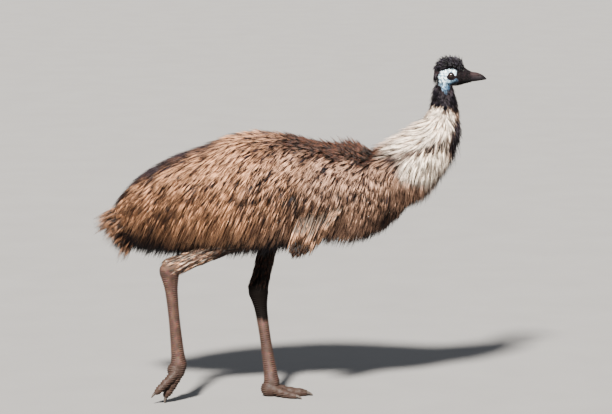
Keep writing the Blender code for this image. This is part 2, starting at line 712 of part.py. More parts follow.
def build_leg(side):
    """A leg in one piece, cut at the hock and above the foot, and its claws."""
    knee, hock, joint = (Vector(p) for p in LEGS[side]["joints"])
    foot = FEET[side]
    whole, shank = leg_pieces(side)
    tarsus = tube("tarsus", [hock + (joint - hock) * entry[0] for entry in TARSUS], [e[1:] for e in TARSUS])
    parts = [shank, tarsus, ball("pad", *foot["pad"])] + shank_locks(side)
    for toe, reach in TOE_REACH.items():
        reaches = [(reach * size, reach * size) for _, size in TOE_PROFILE]
        parts.append(tube("toe", toe_path(*foot[toe][:2]), reaches, TOE_SIDES))
    boolean(whole, parts, "UNION")
    down = (joint - hock).normalized()
    lean = -(math.pi / 2 + math.atan2(down.z, down.x))
    for share in (HOCK_CUT, FOOT_CUT):
        reaches = (LEG_CUT_HALF_SIDE, LEG_CUT_HALF_SIDE, GAP / 2)
        boolean(whole, [box("slab", hock + (joint - hock) * share, reaches, lean)], "DIFFERENCE")
    floor_cut(whole)
    seeds = {
        f"shank_{side}": hock + (knee - hock) * 0.5,
        f"tarsus_{side}": hock + (joint - hock) * 0.5,
        f"foot_{side}": Vector(foot["pad"][0]),
    }
    parted(whole, seeds)
    for toe in TOE_REACH:
        build_claw(side, toe)


def build_claw(side, toe):
    """A claw that bends down from its toe's end to its tip."""
    path = toe_path(*FEET[side][toe][:2])
    start, tip = path[-1], Vector(FEET[side][toe][2])
    along = (path[-1] - path[-2]).normalized()
    turns = [2 * math.pi * i / TOE_SIDES for i in range(TOE_SIDES)]
    rings = []
    for share, size in CLAW_PROFILE:
        middle = start + along * GAP + (tip - start) * share
        middle += Vector((0, 0, CLAW_DROP * math.sin(math.pi * share)))
        way = (tip - start).normalized() if share > 0 else along
        wide = (Vector((0, 1, 0)) - way * way.y).normalized()
        high = wide.cross(way)
        reach = TOE_REACH[toe] * size
        rings.append([middle + (high * math.cos(a) + wide * math.sin(a)) * reach for a in turns])
    floor_cut(closed_rings(f"claw_{toe}_{side}", rings, tip=tip))


def eye_ball(name, side, grow=0.0):
    return ball(name, (EYE[0], EYE[1] * side, EYE[2]), [EYE_RADIUS + grow] * 3, EYE_SIDES, EYE_RINGS)


def hole(name, centre, side, reaches):
    return ball(name, (centre[0], centre[1] * side, centre[2]), reaches, HOLE_SIDES, HOLE_RINGS)


def build_head(whole):
    """Cuts the sockets, ears, nostrils and mouth into the joined head, and leaves the eyes."""
    for name, side in SIDES.items():
        ends = [(EYE[0], side * (EYE[1] + beyond), EYE[2]) for beyond in LID_OPENING_ENDS]
        cuts = [
            eye_ball("socket", side, GAP),
            tube("opening", ends, [LID_OPENING] * 2, EYE_SIDES, across=(1, 0, 0)),
            hole("ear", EAR, side, EAR_REACHES),
            hole("nostril", NOSTRIL, side, NOSTRIL_SIZE),
        ]
        for cut in cuts:
            boolean(whole, [cut], "DIFFERENCE")
        eye_ball(f"eye_{name}", side)
    lean = -math.radians(BILL_LEAN_DEG)
    boolean(whole, [box("bill_slab", (BILL_BASE_X, 0, MOUTH_Z), (GAP / 2, *BILL_CUT), lean)], "DIFFERENCE")
    half = (HEAD[-1][0] + MOUTH_BEYOND_TIP - GAPE_X) / 2
    mouth = box("mouth", (GAPE_X + half, 0, MOUTH_Z), (half, BILL_CUT[0], MOUTH_SLIT / 2))
    boolean(whole, [mouth], "DIFFERENCE")


def clear_scene():
    for obj in list(bpy.data.objects):
        bpy.data.objects.remove(obj)


def finish(obj):
    """Gives the object flat faces and its own material."""
    kind = next(kind for kind in sorted(COLOURS, key=len, reverse=True) if obj.name.startswith(kind))
    colour, roughness = COLOURS[kind]
    material = bpy.data.materials.new(obj.name)
    material.use_nodes = True
    surface = material.node_tree.nodes["Principled BSDF"]
    surface.inputs["Base Color"].default_value = (*colour, 1.0)
    surface.inputs["Roughness"].default_value = roughness
    obj.data.materials.clear()
    obj.data.materials.append(material)


def cut_wing(whole, name, side):
    """Cuts a wing's socket into the trunk, and makes the wing that fits it."""
    for piece in wing_pieces(side, SOCKET_GAP):
        boolean(whole, [piece], "DIFFERENCE")
    arm, *quills = wing_pieces(side)
    boolean(arm, quills, "UNION")
    x, y, z = WING_PATH[2]
    parted(arm, {f"wing_{name}": (x, y * side, z)})


def main():
    clear_scene()
    whole = closed_rings("whole", trunk.rings(TRUNK_RINGS, TRUNK_SIDES))
    skull = closed_rings("skull", head.rings(HEAD_RINGS, HEAD_SIDES))
    lids = [eye_ball("lid", side, LID_THICKNESS) for side in SIDES.values()]
    locks = trunk_locks() + crest_locks() + tail_end() + crown_locks()
    boolean(whole, [skull] + lids + locks, "UNION")
    for side in LEGS:
        for piece in leg_pieces(side, SOCKET_GAP) + shank_locks(side, SOCKET_GAP):
            boolean(whole, [piece], "DIFFERENCE")
    for name, side in SIDES.items():
        cut_wing(whole, name, side)
    slabs = []
    for t, lean in CUTS.values():
        x, z = trunk.axis(np.array(t))[0]
        slabs.append(box("slab", (x, 0, z), (GAP / 2, FAR, NODE_CUT_HALF_HEIGHT), lean))
    boolean(whole, slabs, "DIFFERENCE")
    build_head(whole)
    seeds = {name: trunk.axis(np.array(t))[0] for name, t in NODE_SEEDS.items()} | HEAD_SEEDS
    parted(whole, {name: (x, OFF_MIDDLE, z) for name, (x, z) in seeds.items()})
    for side in LEGS:
        build_leg(side)
    for obj in list(bpy.data.objects):
        finish(obj)


main()
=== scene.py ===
"""The emu's looks: one skin under a coat of solid feathers, a bare blue face, a horn bill and scaled legs.

Metres, +Z up, in the CAD frame. The bird faces +X and the camera sees its right side, from -Y.
"""

import math

import bmesh
import bpy
import numpy as np
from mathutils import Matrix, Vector
from mathutils.kdtree import KDTree


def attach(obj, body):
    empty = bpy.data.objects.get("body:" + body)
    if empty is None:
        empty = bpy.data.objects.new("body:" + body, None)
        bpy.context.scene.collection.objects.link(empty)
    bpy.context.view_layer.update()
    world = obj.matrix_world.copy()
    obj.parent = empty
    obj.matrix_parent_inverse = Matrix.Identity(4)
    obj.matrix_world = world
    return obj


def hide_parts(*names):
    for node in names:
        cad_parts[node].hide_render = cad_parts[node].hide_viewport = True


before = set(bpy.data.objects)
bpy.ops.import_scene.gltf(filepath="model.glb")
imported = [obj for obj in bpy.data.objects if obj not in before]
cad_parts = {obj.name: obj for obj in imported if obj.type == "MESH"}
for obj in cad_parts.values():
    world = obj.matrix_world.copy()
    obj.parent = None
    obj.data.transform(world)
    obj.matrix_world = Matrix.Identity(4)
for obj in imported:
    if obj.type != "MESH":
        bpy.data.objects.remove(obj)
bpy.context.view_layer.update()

SEED = 20
SIDES = {"left": 1.0, "right": -1.0}
DETAIL = 1.0  # share of the coat's feathers that is made
TUFT = 4  # feathers in a tuft
BENDS = (0.0, 0.55, 1.0)  # the places along a feather where its path turns

# The trunk and the head as part.py has them. Each station has the axis's x and z, then the reach to the
# back, to the belly and to the side.
TRUNK = [
    (-0.662, 0.736, 0.014, 0.014, 0.012),
    (-0.622, 0.763, 0.062, 0.056, 0.054),
    (-0.535, 0.800, 0.106, 0.122, 0.108),
    (-0.425, 0.832, 0.138, 0.164, 0.150),
    (-0.300, 0.850, 0.168, 0.180, 0.178),
    (-0.170, 0.858, 0.200, 0.196, 0.192),
    (-0.030, 0.858, 0.194, 0.188, 0.188),
    (0.110, 0.855, 0.165, 0.160, 0.178),
    (0.230, 0.857, 0.138, 0.146, 0.160),
    (0.330, 0.872, 0.112, 0.126, 0.136),
    (0.412, 0.914, 0.092, 0.106, 0.108),
    (0.484, 0.972, 0.080, 0.092, 0.086),
    (0.545, 1.036, 0.068, 0.080, 0.070),
    (0.588, 1.104, 0.058, 0.070, 0.058),
    (0.605, 1.172, 0.048, 0.053, 0.044),
    (0.607, 1.240, 0.043, 0.041, 0.036),
    (0.610, 1.300, 0.034, 0.028, 0.028),
]
HEAD = [
    (0.568, 1.307, 0.012, 0.014, 0.010),
    (0.581, 1.310, 0.033, 0.038, 0.025),
    (0.606, 1.312, 0.045, 0.048, 0.033),
    (0.636, 1.312, 0.047, 0.045, 0.035),
    (0.662, 1.307, 0.041, 0.036, 0.031),
    (0.688, 1.302, 0.031, 0.026, 0.024),
    (0.712, 1.2985, 0.0225, 0.0180, 0.0170),
    (0.735, 1.2960, 0.0210, 0.0125, 0.0125),
    (0.757, 1.2940, 0.0140, 0.0070, 0.0085),
    (0.7746, 1.2925, 0.0022, 0.0022, 0.0030),
]
SKIN_INSET = 0.003
NECK_SLIM = 0.80  # the neck's own skin, of the CAD core there
NECK_FROM, NECK_FULL = 12.4, 14.4  # the stations where that begins and where it is full
GAPE_X = 0.668
MOUTH_Z = 1.2915
BILL_PLAY = 0.0003  # half the gap between the halves of the bill
NOSTRIL = (0.7450, 0.0098, 1.3050)
NOSTRIL_SIZE = (0.0055, 0.0040, 0.0020)
EYE = (0.6318, 0.0262, 1.3088)
EYE_RADIUS = 0.0125
GAZE = (0.22, 1.0, 0.02)  # the way the left eye looks
LID = 0.0022  # how far the lids stand off the eyeball
LID_OPENING = (0.0084, 0.0102)  # half the height and half the length of what they leave open
SOCKET_PLAY = 0.0001
EAR = (0.6090, 0.0320, 1.2840)
EAR_REACH, EAR_DEPTH = 0.0045, 0.0030
SLIT_REACH, SLIT_DEPTH = 0.0016, 0.0016
# Forms of the head seen from the side: centre, reaches, and how far they stand out or the groove goes in.
BROW = ((0.640, 1.324), (0.016, 0.005), 0.0022)
CHEEK = ((0.652, 1.286), (0.020, 0.010), 0.0014)
NOSTRIL_GROOVE = ((0.738, 1.3045), (0.016, 0.0042), 0.0016)

# The lie of the coat, in degrees from straight back along the axis towards the belly, by station of the
# trunk in rows and from the back over the side to the belly in columns, as part.py has it.
LIE_STATIONS = [0, 3, 6, 9, 10.5, 12.5, 16]
LIE_TURNS = np.radians([0, 40, 90, 135, 180])
LIE_DEG = [
    (4, 14, 22, 20, 0),
    (8, 28, 40, 34, 0),
    (14, 56, 66, 52, 0),
    (10, 40, 68, 50, 0),
    (-8, -12, 24, 22, 0),
    (-14, -28, -2, 18, 0),
    (0, 4, 8, 8, 0),
]
FEATHER_LENGTH = [0.160, 0.140, 0.122, 0.118, 0.120, 0.098, 0.036]
COAT_DEPTH = [0.034, 0.024, 0.029, 0.032, 0.040, 0.044, 0.012]
FEATHER_WIDTH = [0.0027, 0.0026, 0.0025, 0.0025, 0.0023, 0.0021, 0.0014]
FLANK = {"turn": math.radians(100), "spread": math.radians(24), "t": 4.6, "reach": 2.6, "longer": 0.55}
HANG = np.array([-0.36, 0.0, -0.93])  # the way in which free feathers hang
SINK = 0.008  # how deep a feather's root is under the surface
BELLY_TURN = math.radians(128)
# How long the hanging feathers are at the stations below, as a share of the ones on the back.
HANG_STATIONS = [0, 2, 5.0, 6.2, 7.2, 8.2, 9.2, 10.0, 11.0, 16]
HANG_LENGTHS = [0.90, 0.92, 0.84, 0.80, 0.72, 0.98, 0.92, 0.55, 0.80, 1.0]
# Dark places in the coat: station, turn in degrees, their reaches and how dark they are.
DARK_PLACES = [
    # painted shadow along the wing's rear edge
    (6.20, 114, 0.17, 30, 0.85),
    (2.00, 120, 0.55, 13, 0.65),
    (3.10, 66, 0.40, 8, 0.45),
    (8.80, 158, 0.40, 22, 0.95),
    (2.00, 8, 2.30, 36, 0.95),
    (1.70, 156, 0.90, 26, 0.85),
]
# The painted shadow of a fold of feathers across the neck, a dark band from the shoulder to the throat's
# side, by station and turn.
SWEEP_STATIONS = [10.4, 11.2, 11.9, 12.4]
SWEEP_TURNS = np.radians([60, 92, 112, 134])
SWEEP_REACH = 0.192
BLACK_FROM = (13.72, 14.02)  # the stations where the black of the upper neck begins and is full
# Where the cream of the neck begins, by turn.
CREAM_TURNS = [0, 0.5, 1.2, 1.9, 2.4, math.pi]
CREAM_FROM = [9.9, 9.7, 9.75, 9.8, 10.0, 10.7]

# The knee, the hock and the joint over the foot.
LEGS = {
    "right": ((-0.125, -0.128, 0.705), (-0.487, -0.105, 0.545), (-0.450, -0.095, 0.140)),
    "left": ((-0.050, 0.124, 0.800), (-0.137, 0.082, 0.432), (-0.079, 0.040, 0.042)),
}
SHANK_FEATHERS = 3300
# The shank's and the tarsus's shape: the share of the way from the hock, the reach ahead and aside.
SHANK = [
    (1.00, 0.036, 0.034),
    (0.90, 0.042, 0.040),
    (0.74, 0.042, 0.040),
    (0.56, 0.038, 0.037),
    (0.38, 0.036, 0.034),
    (0.22, 0.0345, 0.029),
    (0.10, 0.036, 0.030),
    (0.00, 0.041, 0.033),
    (-0.05, 0.030, 0.024),
]
TARSUS = [
    (-0.055, 0.022, 0.020),
    (-0.02, 0.037, 0.031),
    (0.04, 0.040, 0.032),
    (0.10, 0.034, 0.027),
    (0.20, 0.0265, 0.0205),
    (0.34, 0.0235, 0.0180),
    (0.52, 0.0225, 0.0170),
    (0.72, 0.0245, 0.0180),
    (0.87, 0.0275, 0.0210),
    (0.96, 0.0320, 0.0260),
    (1.02, 0.0260, 0.0230),
]
# The pad's middle and reaches, and each toe's start and end and its claw's tip.
FEET = {
    "right": {
        "pad": ((-0.462, -0.095, 0.132), (0.036, 0.028, 0.036)),
        "middle": ((-0.4550, -0.095, 0.120), (-0.5020, -0.0990, 0.034), (-0.5090, -0.1000, -0.002)),
        "outer": ((-0.4640, -0.108, 0.122), (-0.5380, -0.1300, 0.050), (-0.5600, -0.1360, 0.028)),
        "inner": ((-0.4560, -0.082, 0.118), (-0.4880, -0.0640, 0.047), (-0.4990, -0.0590, 0.020)),
    },
    "left": {
        "pad": ((-0.088, 0.040, 0.030), (0.038, 0.030, 0.036)),
        "middle": ((-0.0700, 0.040, 0.032), (0.0500, 0.0420, 0.0130), (0.0850, 0.0430, 0.0030)),
        "outer": ((-0.0720, 0.052, 0.030), (0.0100, 0.0960, 0.0115), (0.0390, 0.1100, 0.0025)),
        "inner": ((-0.0720, 0.028, 0.030), (0.0120, -0.0180, 0.0115), (0.0400, -0.0330, 0.0025)),
    },
}
TOE_REACH = {"middle": 0.0180, "outer": 0.0148, "inner": 0.0152}
# The toes' plump joints: the share of the way along and the share of the reach there.
TOE_PROFILE = [
    (0.0, 1.15), (0.14, 1.05), (0.28, 1.14), (0.42, 0.98), (0.56, 1.08), (0.70, 0.90), (0.86, 0.96),
    (1.0, 0.70),
]
TOE_RINGS = 40
TOE_SAG = 2.2
TOE_PLUMP = 1.12  # how much thicker the toes are than in the solids
SCUTE_PITCH, SCUTE_HEIGHT = 0.0085, 0.0017
CLAW_DROP = 0.004

# Quills that feathers run between, each a root and a tip. These are the left wing's.
WING_QUILLS = [
    ((0.215, 0.152, 0.835), (0.128, 0.206, 0.722)),
    ((0.190, 0.158, 0.825), (0.098, 0.214, 0.668)),
    ((0.160, 0.164, 0.820), (0.070, 0.216, 0.632)),
    ((0.135, 0.170, 0.805), (0.048, 0.218, 0.612)),
    ((0.105, 0.174, 0.810), (0.026, 0.214, 0.600)),
    ((0.075, 0.176, 0.820), (0.006, 0.208, 0.606)),
    ((0.050, 0.176, 0.825), (-0.008, 0.204, 0.622)),
]
WING_TIP = [
    ((0.078, 0.206, 0.690), (0.054, 0.224, 0.612)),
    ((0.052, 0.206, 0.680), (0.024, 0.222, 0.598)),
    ((0.030, 0.204, 0.676), (0.002, 0.218, 0.596)),
    ((0.012, 0.200, 0.686), (-0.010, 0.212, 0.612)),
]
WING_EDGE = (0.044, 0.725, 0.22)  # x at a height on the wing's middle line, and how far it leans
TAIL_END = [
    ((-0.610, 0.000, 0.790), (-0.775, 0.006, 0.736)),
    ((-0.615, 0.026, 0.775), (-0.792, 0.040, 0.702)),
    ((-0.620, 0.022, 0.755), (-0.790, 0.016, 0.664)),
    ((-0.610, 0.036, 0.745), (-0.760, 0.062, 0.634)),
    ((-0.590, 0.030, 0.710), (-0.690, 0.050, 0.576)),
    ((-0.600, 0.000, 0.710), (-0.692, 0.000, 0.556)),
    ((-0.590, -0.030, 0.710), (-0.690, -0.050, 0.570)),
    ((-0.620, -0.030, 0.750), (-0.756, -0.058, 0.650)),
    ((-0.615, -0.026, 0.770), (-0.794, -0.030, 0.698)),
    ((-0.610, 0.000, 0.790), (-0.775, -0.006, 0.736)),
]

# The bare patch of the face and throat, as ellipses seen from the side: centre, reaches, tilt.
BARE = [
    ((0.6235, 1.3150), (0.0360, 0.0300), 0.0),
    ((0.6010, 1.2920), (0.0265, 0.0300), -0.35),
    ((0.6170, 1.2640), (0.0230, 0.0340), 0.0),
]
MOTTLED = ((0.644, 1.2840), (0.024, 0.016), 0.52)  # pale skin under the eye, and how much of it shows
LID_RING = (0.0150, 0.0185)  # how far the black skin round the eye reaches, and where it has faded
LORES = (0.648, 1.300, 0.40)  # the edge of the black lores: x at a height, and how far forward it leans


def through(values, t):
    """A smooth curve through evenly numbered keys, read at t, which runs from 0 to the last key."""
    values = np.asarray(values, float)
    last = len(values) - 1
    t = np.clip(np.asarray(t, float), 0.0, last)
    i = np.minimum(t.astype(int), last - 1)
    f = t - i
    if values.ndim > 1:
        f = f[..., None]
    slope = np.gradient(values, axis=0)
    start, end = values[i], values[i + 1]
    curve = (2 * f**3 - 3 * f**2 + 1) * start + (3 * f**2 - 2 * f**3) * end
    return curve + (f**3 - 2 * f**2 + f) * slope[i] + (f**3 - f**2) * slope[i + 1]


def unit(v):
    return v / np.maximum(np.linalg.norm(v, axis=-1, keepdims=True), 1e-12)


class Loft:
    """A surface round an axis in the plane of symmetry. t runs over the stations. turn is 0 on the back,
    plus or minus a quarter turn on the left or right side, and a half turn on the belly."""

    def __init__(self, stations):
        self.stations = np.array(stations)
        self.end = len(stations) - 1

    def axis(self, t):
        """The axis's x and z at t, and its tangent there."""
        step = 0.02
        ahead = through(self.stations, np.minimum(t + step, self.end))[..., :2]
        behind = through(self.stations, np.maximum(t - step, 0))[..., :2]
        return through(self.stations, t)[..., :2], unit(ahead - behind)

    def point(self, t, turn, inset=0.0):
        t, turn = np.broadcast_arrays(np.asarray(t, float), np.asarray(turn, float))
        reach = np.maximum(through(self.stations, t)[..., 2:] - inset, 0.001)
        axis, along = self.axis(t)
        up = np.where(np.cos(turn) > 0, reach[..., 0], reach[..., 1]) * np.cos(turn)
        x, z = axis[..., 0] - along[..., 1] * up, axis[..., 1] + along[..., 0] * up
        return np.stack([x, reach[..., 2] * np.sin(turn), z], axis=-1)

    def frame(self, t, turn):
        """Unit vectors back along the axis, down round the side and outwards, and the two scales."""
        step = 0.01
        ahead, behind = np.minimum(t + step, self.end), np.maximum(t - step, 0)
        dt = (self.point(ahead, turn) - self.point(behind, turn)) / (ahead - behind)[..., None]
        dturn = (self.point(t, turn + step) - self.point(t, turn - step)) / (2 * step)
        side = np.where(turn >= 0, 1.0, -1.0)[..., None]
        scales = np.linalg.norm(dt, axis=-1), np.linalg.norm(dturn, axis=-1)
        return unit(-dt), unit(dturn) * side, unit(np.cross(dt, dturn)), scales

    def rings(self, count, sides, start, end, inset=0.0):
        turns = np.arange(sides) * 2 * math.pi / sides
        return [self.point(t, turns, inset) for t in np.linspace(start, end, count)]


def slimmed(stations):
    """The trunk's stations with the neck drawn in to its own skin."""
    made = []
    for i, (x, z, *reach) in enumerate(stations):
        share = min(max((i - NECK_FROM) / (NECK_FULL - NECK_FROM), 0), 1)
        slim = 1 - (1 - NECK_SLIM) * share
        made.append((x, z, *(r * slim for r in reach)))
    return made


skin_trunk = Loft(slimmed(TRUNK))
head = Loft(HEAD)


def lie_angle(t, turn):
    """The lie of the coat on the trunk, from straight back towards the belly."""
    rows = np.array([np.interp(np.abs(turn), LIE_TURNS, row) for row in LIE_DEG])
    at = np.interp(t, LIE_STATIONS, range(len(LIE_STATIONS)))
    low = np.minimum(at.astype(int), len(rows) - 2)
    pick = np.arange(len(t))
    part = at - low
    return np.radians(rows[low, pick] * (1 - part) + rows[low + 1, pick] * part)


def at_station(values, t):
    return np.interp(t, LIE_STATIONS, values)


def waves(t, turn, scale=1.0):
    """Smooth noise over the trunk, about -1 to 1, that breaks the coat into locks."""
    a, b = t * scale, turn * scale
    total = np.sin(2.3 * a + 1.9 * b + 0.4) + np.sin(-3.7 * a + 4.1 * b + 2.1)
    total += 0.7 * np.sin(6.1 * a + 7.3 * b + 5.0) + 0.7 * np.sin(8.3 * a - 5.9 * b + 1.3)
    return total / 2.4


def ease(low, high, value):
    """0 below low, 1 above high, and smooth between."""
    share = np.clip((np.asarray(value) - low) / (high - low), 0, 1)
    return share * share * (3 - 2 * share)


def hill(*offs):
    """A smooth bump: 1 where every offset is 0, and nearly 0 from an offset of 2."""
    return np.exp(-sum(off**2 for off in offs))


def from_middle(x, z, centre, reaches, tilt=0.0):
    """How far out a place is in an ellipse seen from the side: 0 in its middle and 1 on its edge."""
    dx, dz = x - centre[0], z - centre[1]
    u = dx * math.cos(tilt) + dz * math.sin(tilt)
    v = -dx * math.sin(tilt) + dz * math.cos(tilt)
    return np.hypot(u / reaches[0], v / reaches[1])


def bare_face(points):
    """How deep a point lies in the bare patch of the face: 1 inside, 0 outside."""
    x, _, z = points.T
    out = np.minimum.reduce([from_middle(x, z, *patch) for patch in BARE])
    lores_x, lores_z, lean = LORES
    lores = x - (lores_x + (z - lores_z) * lean)
    bare = (1 - ease(0.66, 1.20, out)) * (1 - ease(-0.005, 0.005, lores))
    *patch, amount = MOTTLED
    mottled = amount * (1 - ease(0.60, 1.20, from_middle(x, z, *patch)))
    from_eye = np.hypot(x - EYE[0], z - EYE[2]) + np.where(z < EYE[2], -0.0025, 0.0030)
    return np.maximum(bare, mottled) * ease(*LID_RING, from_eye)


def placed(name, data):
    """A new object in the scene."""
    obj = bpy.data.objects.new(name, data)
    bpy.context.scene.collection.objects.link(obj)
    return obj


def new_mesh(name, points, faces):
    mesh = bpy.data.meshes.new(name)
    mesh.from_pydata([tuple(map(float, p)) for p in points], [], faces)
    mesh.update()
    return placed(name, mesh)


def facing_out(obj):
    work = bmesh.new()
    work.from_mesh(obj.data)
    bmesh.ops.recalc_face_normals(work, faces=work.faces)
    if work.calc_volume(signed=True) < 0:
        bmesh.ops.reverse_faces(work, faces=work.faces)
    work.to_mesh(obj.data)
    work.free()
    return obj


def closed_rings(name, rings, tip=None):
    """A closed mesh through rings of points, shut at both ends, or drawn out to a tip."""
    count = len(rings[0])
    points = [p for ring in rings for p in ring]
    faces = []
    for k in range(len(rings) - 1):
        for i in range(count):
            a, b = k * count + i, k * count + (i + 1) % count
            faces.append((a, b, b + count, a + count))
    last = (len(rings) - 1) * count
    faces.append(tuple(range(count))[::-1])
    if tip is None:
        faces.append(tuple(last + i for i in range(count)))
    else:
        points.append(tip)
        faces += [(last + i, last + (i + 1) % count, len(points) - 1) for i in range(count)]
    return facing_out(new_mesh(name, points, faces))


def tube(name, path, reaches, sides=32, across=(0, 1, 0)):
    """A tube along a path, with each point's reach at right angles to the path and across it."""
    path, across = [Vector(p) for p in path], Vector(across)
    turns = [2 * math.pi * i / sides for i in range(sides)]
    rings = []
    for k, (ahead, wide) in enumerate(reaches):
        along = (path[min(k + 1, len(path) - 1)] - path[max(k - 1, 0)]).normalized()
        side = (across - along * along.dot(across)).normalized()
        fore = side.cross(along)
        rings.append([path[k] + fore * ahead * math.cos(a) + side * wide * math.sin(a) for a in turns])
    return closed_rings(name, rings)


def smooth_tube(name, start, end, profile, rings):
    """A straight tube whose reaches run smoothly through the profile's."""
    values = through(profile, np.linspace(0, len(profile) - 1, rings))
    start, end = Vector(start), Vector(end)
    path = [start + (end - start) * float(share) for share in values[:, 0]]
    return tube(name, path, values[:, 1:].tolist())


def ball(name, centre, reaches, sides=32, rings=20):
    work = bmesh.new()
    bmesh.ops.create_uvsphere(work, u_segments=sides, v_segments=rings, radius=1.0)
    for vert in work.verts:
        vert.co = Vector(c + v * r for c, v, r in zip(centre, vert.co, reaches))
    mesh = bpy.data.meshes.new(name)
    work.to_mesh(mesh)
    work.free()
    return facing_out(placed(name, mesh))


def box(name, low, high):
    points = [(x, y, z) for x in (low[0], high[0]) for y in (low[1], high[1]) for z in (low[2], high[2])]
    faces = [(0, 1, 3, 2), (4, 6, 7, 5), (0, 4, 5, 1), (2, 3, 7, 6), (0, 2, 6, 4), (1, 5, 7, 3)]
    return facing_out(new_mesh(name, points, faces))


def applied(obj):
    """The object with its modifiers made real."""
    bpy.context.view_layer.update()
    shown = obj.evaluated_get(bpy.context.evaluated_depsgraph_get())
    mesh = bpy.data.meshes.new_from_object(shown)
    obj.modifiers.clear()
    obj.data = mesh
    return obj


def boolean(obj, others, operation):
    for other in others:
        modifier = obj.modifiers.new("join", "BOOLEAN")
        modifier.operation = operation
        modifier.solver = "MANIFOLD"
        modifier.object = other
        applied(obj)
        bpy.data.objects.remove(other)
    return obj


def remeshed(obj, voxel, rounds):
    """The object as an even mesh. Each round moves each point half way to the middle of its neighbours."""
    modifier = obj.modifiers.new("even", "REMESH")
    modifier.mode = "VOXEL"
    modifier.voxel_size = voxel
    mesh = applied(obj).data
    points = read_points(mesh)
    ends = np.empty(len(mesh.edges) * 2, np.int32)
    mesh.edges.foreach_get("vertices", ends)
    a, b = ends[::2], ends[1::2]
    a, b = np.concatenate([a, b]), np.concatenate([b, a])
    count = np.maximum(np.bincount(a, minlength=len(points)), 1)
    for _ in range(rounds):
        middle = [np.bincount(a, points[b, axis], len(points)) / count for axis in range(3)]
        points = points + (np.stack(middle, axis=1) - points) * 0.5
    write_points(mesh, points)
    return obj


def read_points(mesh, what="co"):
    """A place, or another vector, of each point."""
    values = np.empty(len(mesh.vertices) * 3)
    mesh.vertices.foreach_get(what, values)
    return values.reshape(-1, 3)


def write_points(mesh, points):
    mesh.vertices.foreach_set("co", points.astype(np.float32).ravel())
    mesh.update()


def give(mesh, name, values):
    """Stores one number for each point, for the materials."""
    layer = mesh.attributes.new(name, "FLOAT", "POINT")
    layer.data.foreach_set("value", np.asarray(values, np.float32))


def shade_smooth(mesh):
    mesh.polygons.foreach_set("use_smooth", np.ones(len(mesh.polygons), bool))
    mesh.update()


def toe_path(start, end):
    """The middle of a toe. One that rises from the floor sags on to it."""
    start, end = np.array(start), np.array(end)
    share = np.linspace(0, 1, TOE_RINGS)[:, None]
    path = start + (end - start) * share
    if start[2] < 0.06:
        path[:, 2:] = end[2] + (start[2] - end[2]) * (1 - share) ** TOE_SAG
    return path


def toe_tube(start, end, reach):
    path = toe_path(start, end)
    shares, sizes = zip(*TOE_PROFILE)
    sizes = np.interp(np.linspace(0, 1, TOE_RINGS), shares, sizes) * reach * TOE_PLUMP
    body = tube("toe", path, [(size, size) for size in sizes], 24)
    return boolean(body, [ball("tip", path[-1], [sizes[-1]] * 3, 24, 16)], "UNION")


def leg_skin(side):
    """A leg's skin, with its scutes raised across the front and the back of the tarsus."""
    knee, hock, joint = LEGS[side]
    leg = smooth_tube("leg", hock, knee, SHANK, 60)
    parts = [smooth_tube("tarsus", hock, joint, TARSUS, 90), ball("pad", *FEET[side]["pad"])]
    parts += [toe_tube(*FEET[side][toe][:2], reach) for toe, reach in TOE_REACH.items()]
    boolean(leg, parts, "UNION")
    remeshed(leg, voxel=0.0020, rounds=5)
    points, normals = read_points(leg.data), read_points(leg.data, "normal")
    share, _ = along_limb(points, hock, joint)
    scutes = np.sin(share * math.dist(hock, joint) * 2 * math.pi / SCUTE_PITCH)
    scutes *= ease(0.05, 0.12, share) * ease(0.15, 0.55, np.abs(normals[:, 0]))
    points += normals * (scutes * SCUTE_HEIGHT)[:, None]
    points[:, 2] = np.maximum(points[:, 2], 0.0002)
    write_points(leg.data, points)
    return leg


def eye_centre(side):
    return Vector((EYE[0], EYE[1] * side, EYE[2]))


def head_skin():
    """The head and the upper neck as one even skin, with the sockets and lids of the eyes, ears and mouth."""
    body = closed_rings("head_skin", head.rings(70, 56, 0.0, 6.35))
    neck = closed_rings("neck", skin_trunk.rings(60, 48, 11.5, 16.0, SKIN_INSET))
    boolean(body, [neck], "UNION")
    remeshed(body, voxel=0.0018, rounds=6)
    points = read_points(body.data)
    x, y, z = points.T
    form = sum(height * hill(from_middle(x, z, centre, reaches)) for centre, reaches, height in (BROW, CHEEK))
    form -= SLIT_DEPTH * hill((z - MOUTH_Z) / SLIT_REACH) * ease(GAPE_X - 0.003, GAPE_X + 0.004, x)
    from_ear = np.linalg.norm([x - EAR[0], np.abs(y) - EAR[1], z - EAR[2]], axis=0)
    points[:, 1] += np.sign(y) * (form - EAR_DEPTH * hill(from_ear / EAR_REACH))
    write_points(body.data, points)
    for side in SIDES.values():
        centre = eye_centre(side)
        boolean(body, [ball("lid", centre, [EYE_RADIUS + LID] * 3, 40, 26)], "UNION")
        path = [centre + Vector((0, side * out, 0)) for out in (0.005, 0.04)]
        cut = tube("opening", path, [LID_OPENING] * 2, 36, across=(1, 0, 0))
        boolean(body, [ball("socket", centre, [EYE_RADIUS + SOCKET_PLAY] * 3, 40, 26), cut], "DIFFERENCE")
    return body


def make_skin():
    skin = closed_rings("skin", skin_trunk.rings(90, 56, 0.0, 13.2, SKIN_INSET))
    boolean(skin, [head_skin(), leg_skin("left"), leg_skin("right")], "UNION")
    mesh = skin.data
    zones = skin_zones(read_points(mesh))
    facing = np.abs(read_points(mesh, "normal")[:, 0])
    zones["plate"] = ease(0.10, 0.45, facing) * zones["leg"] * (1 - zones["foot"])
    for name, values in zones.items():
        give(mesh, name, values)
    shade_smooth(mesh)
    return skin


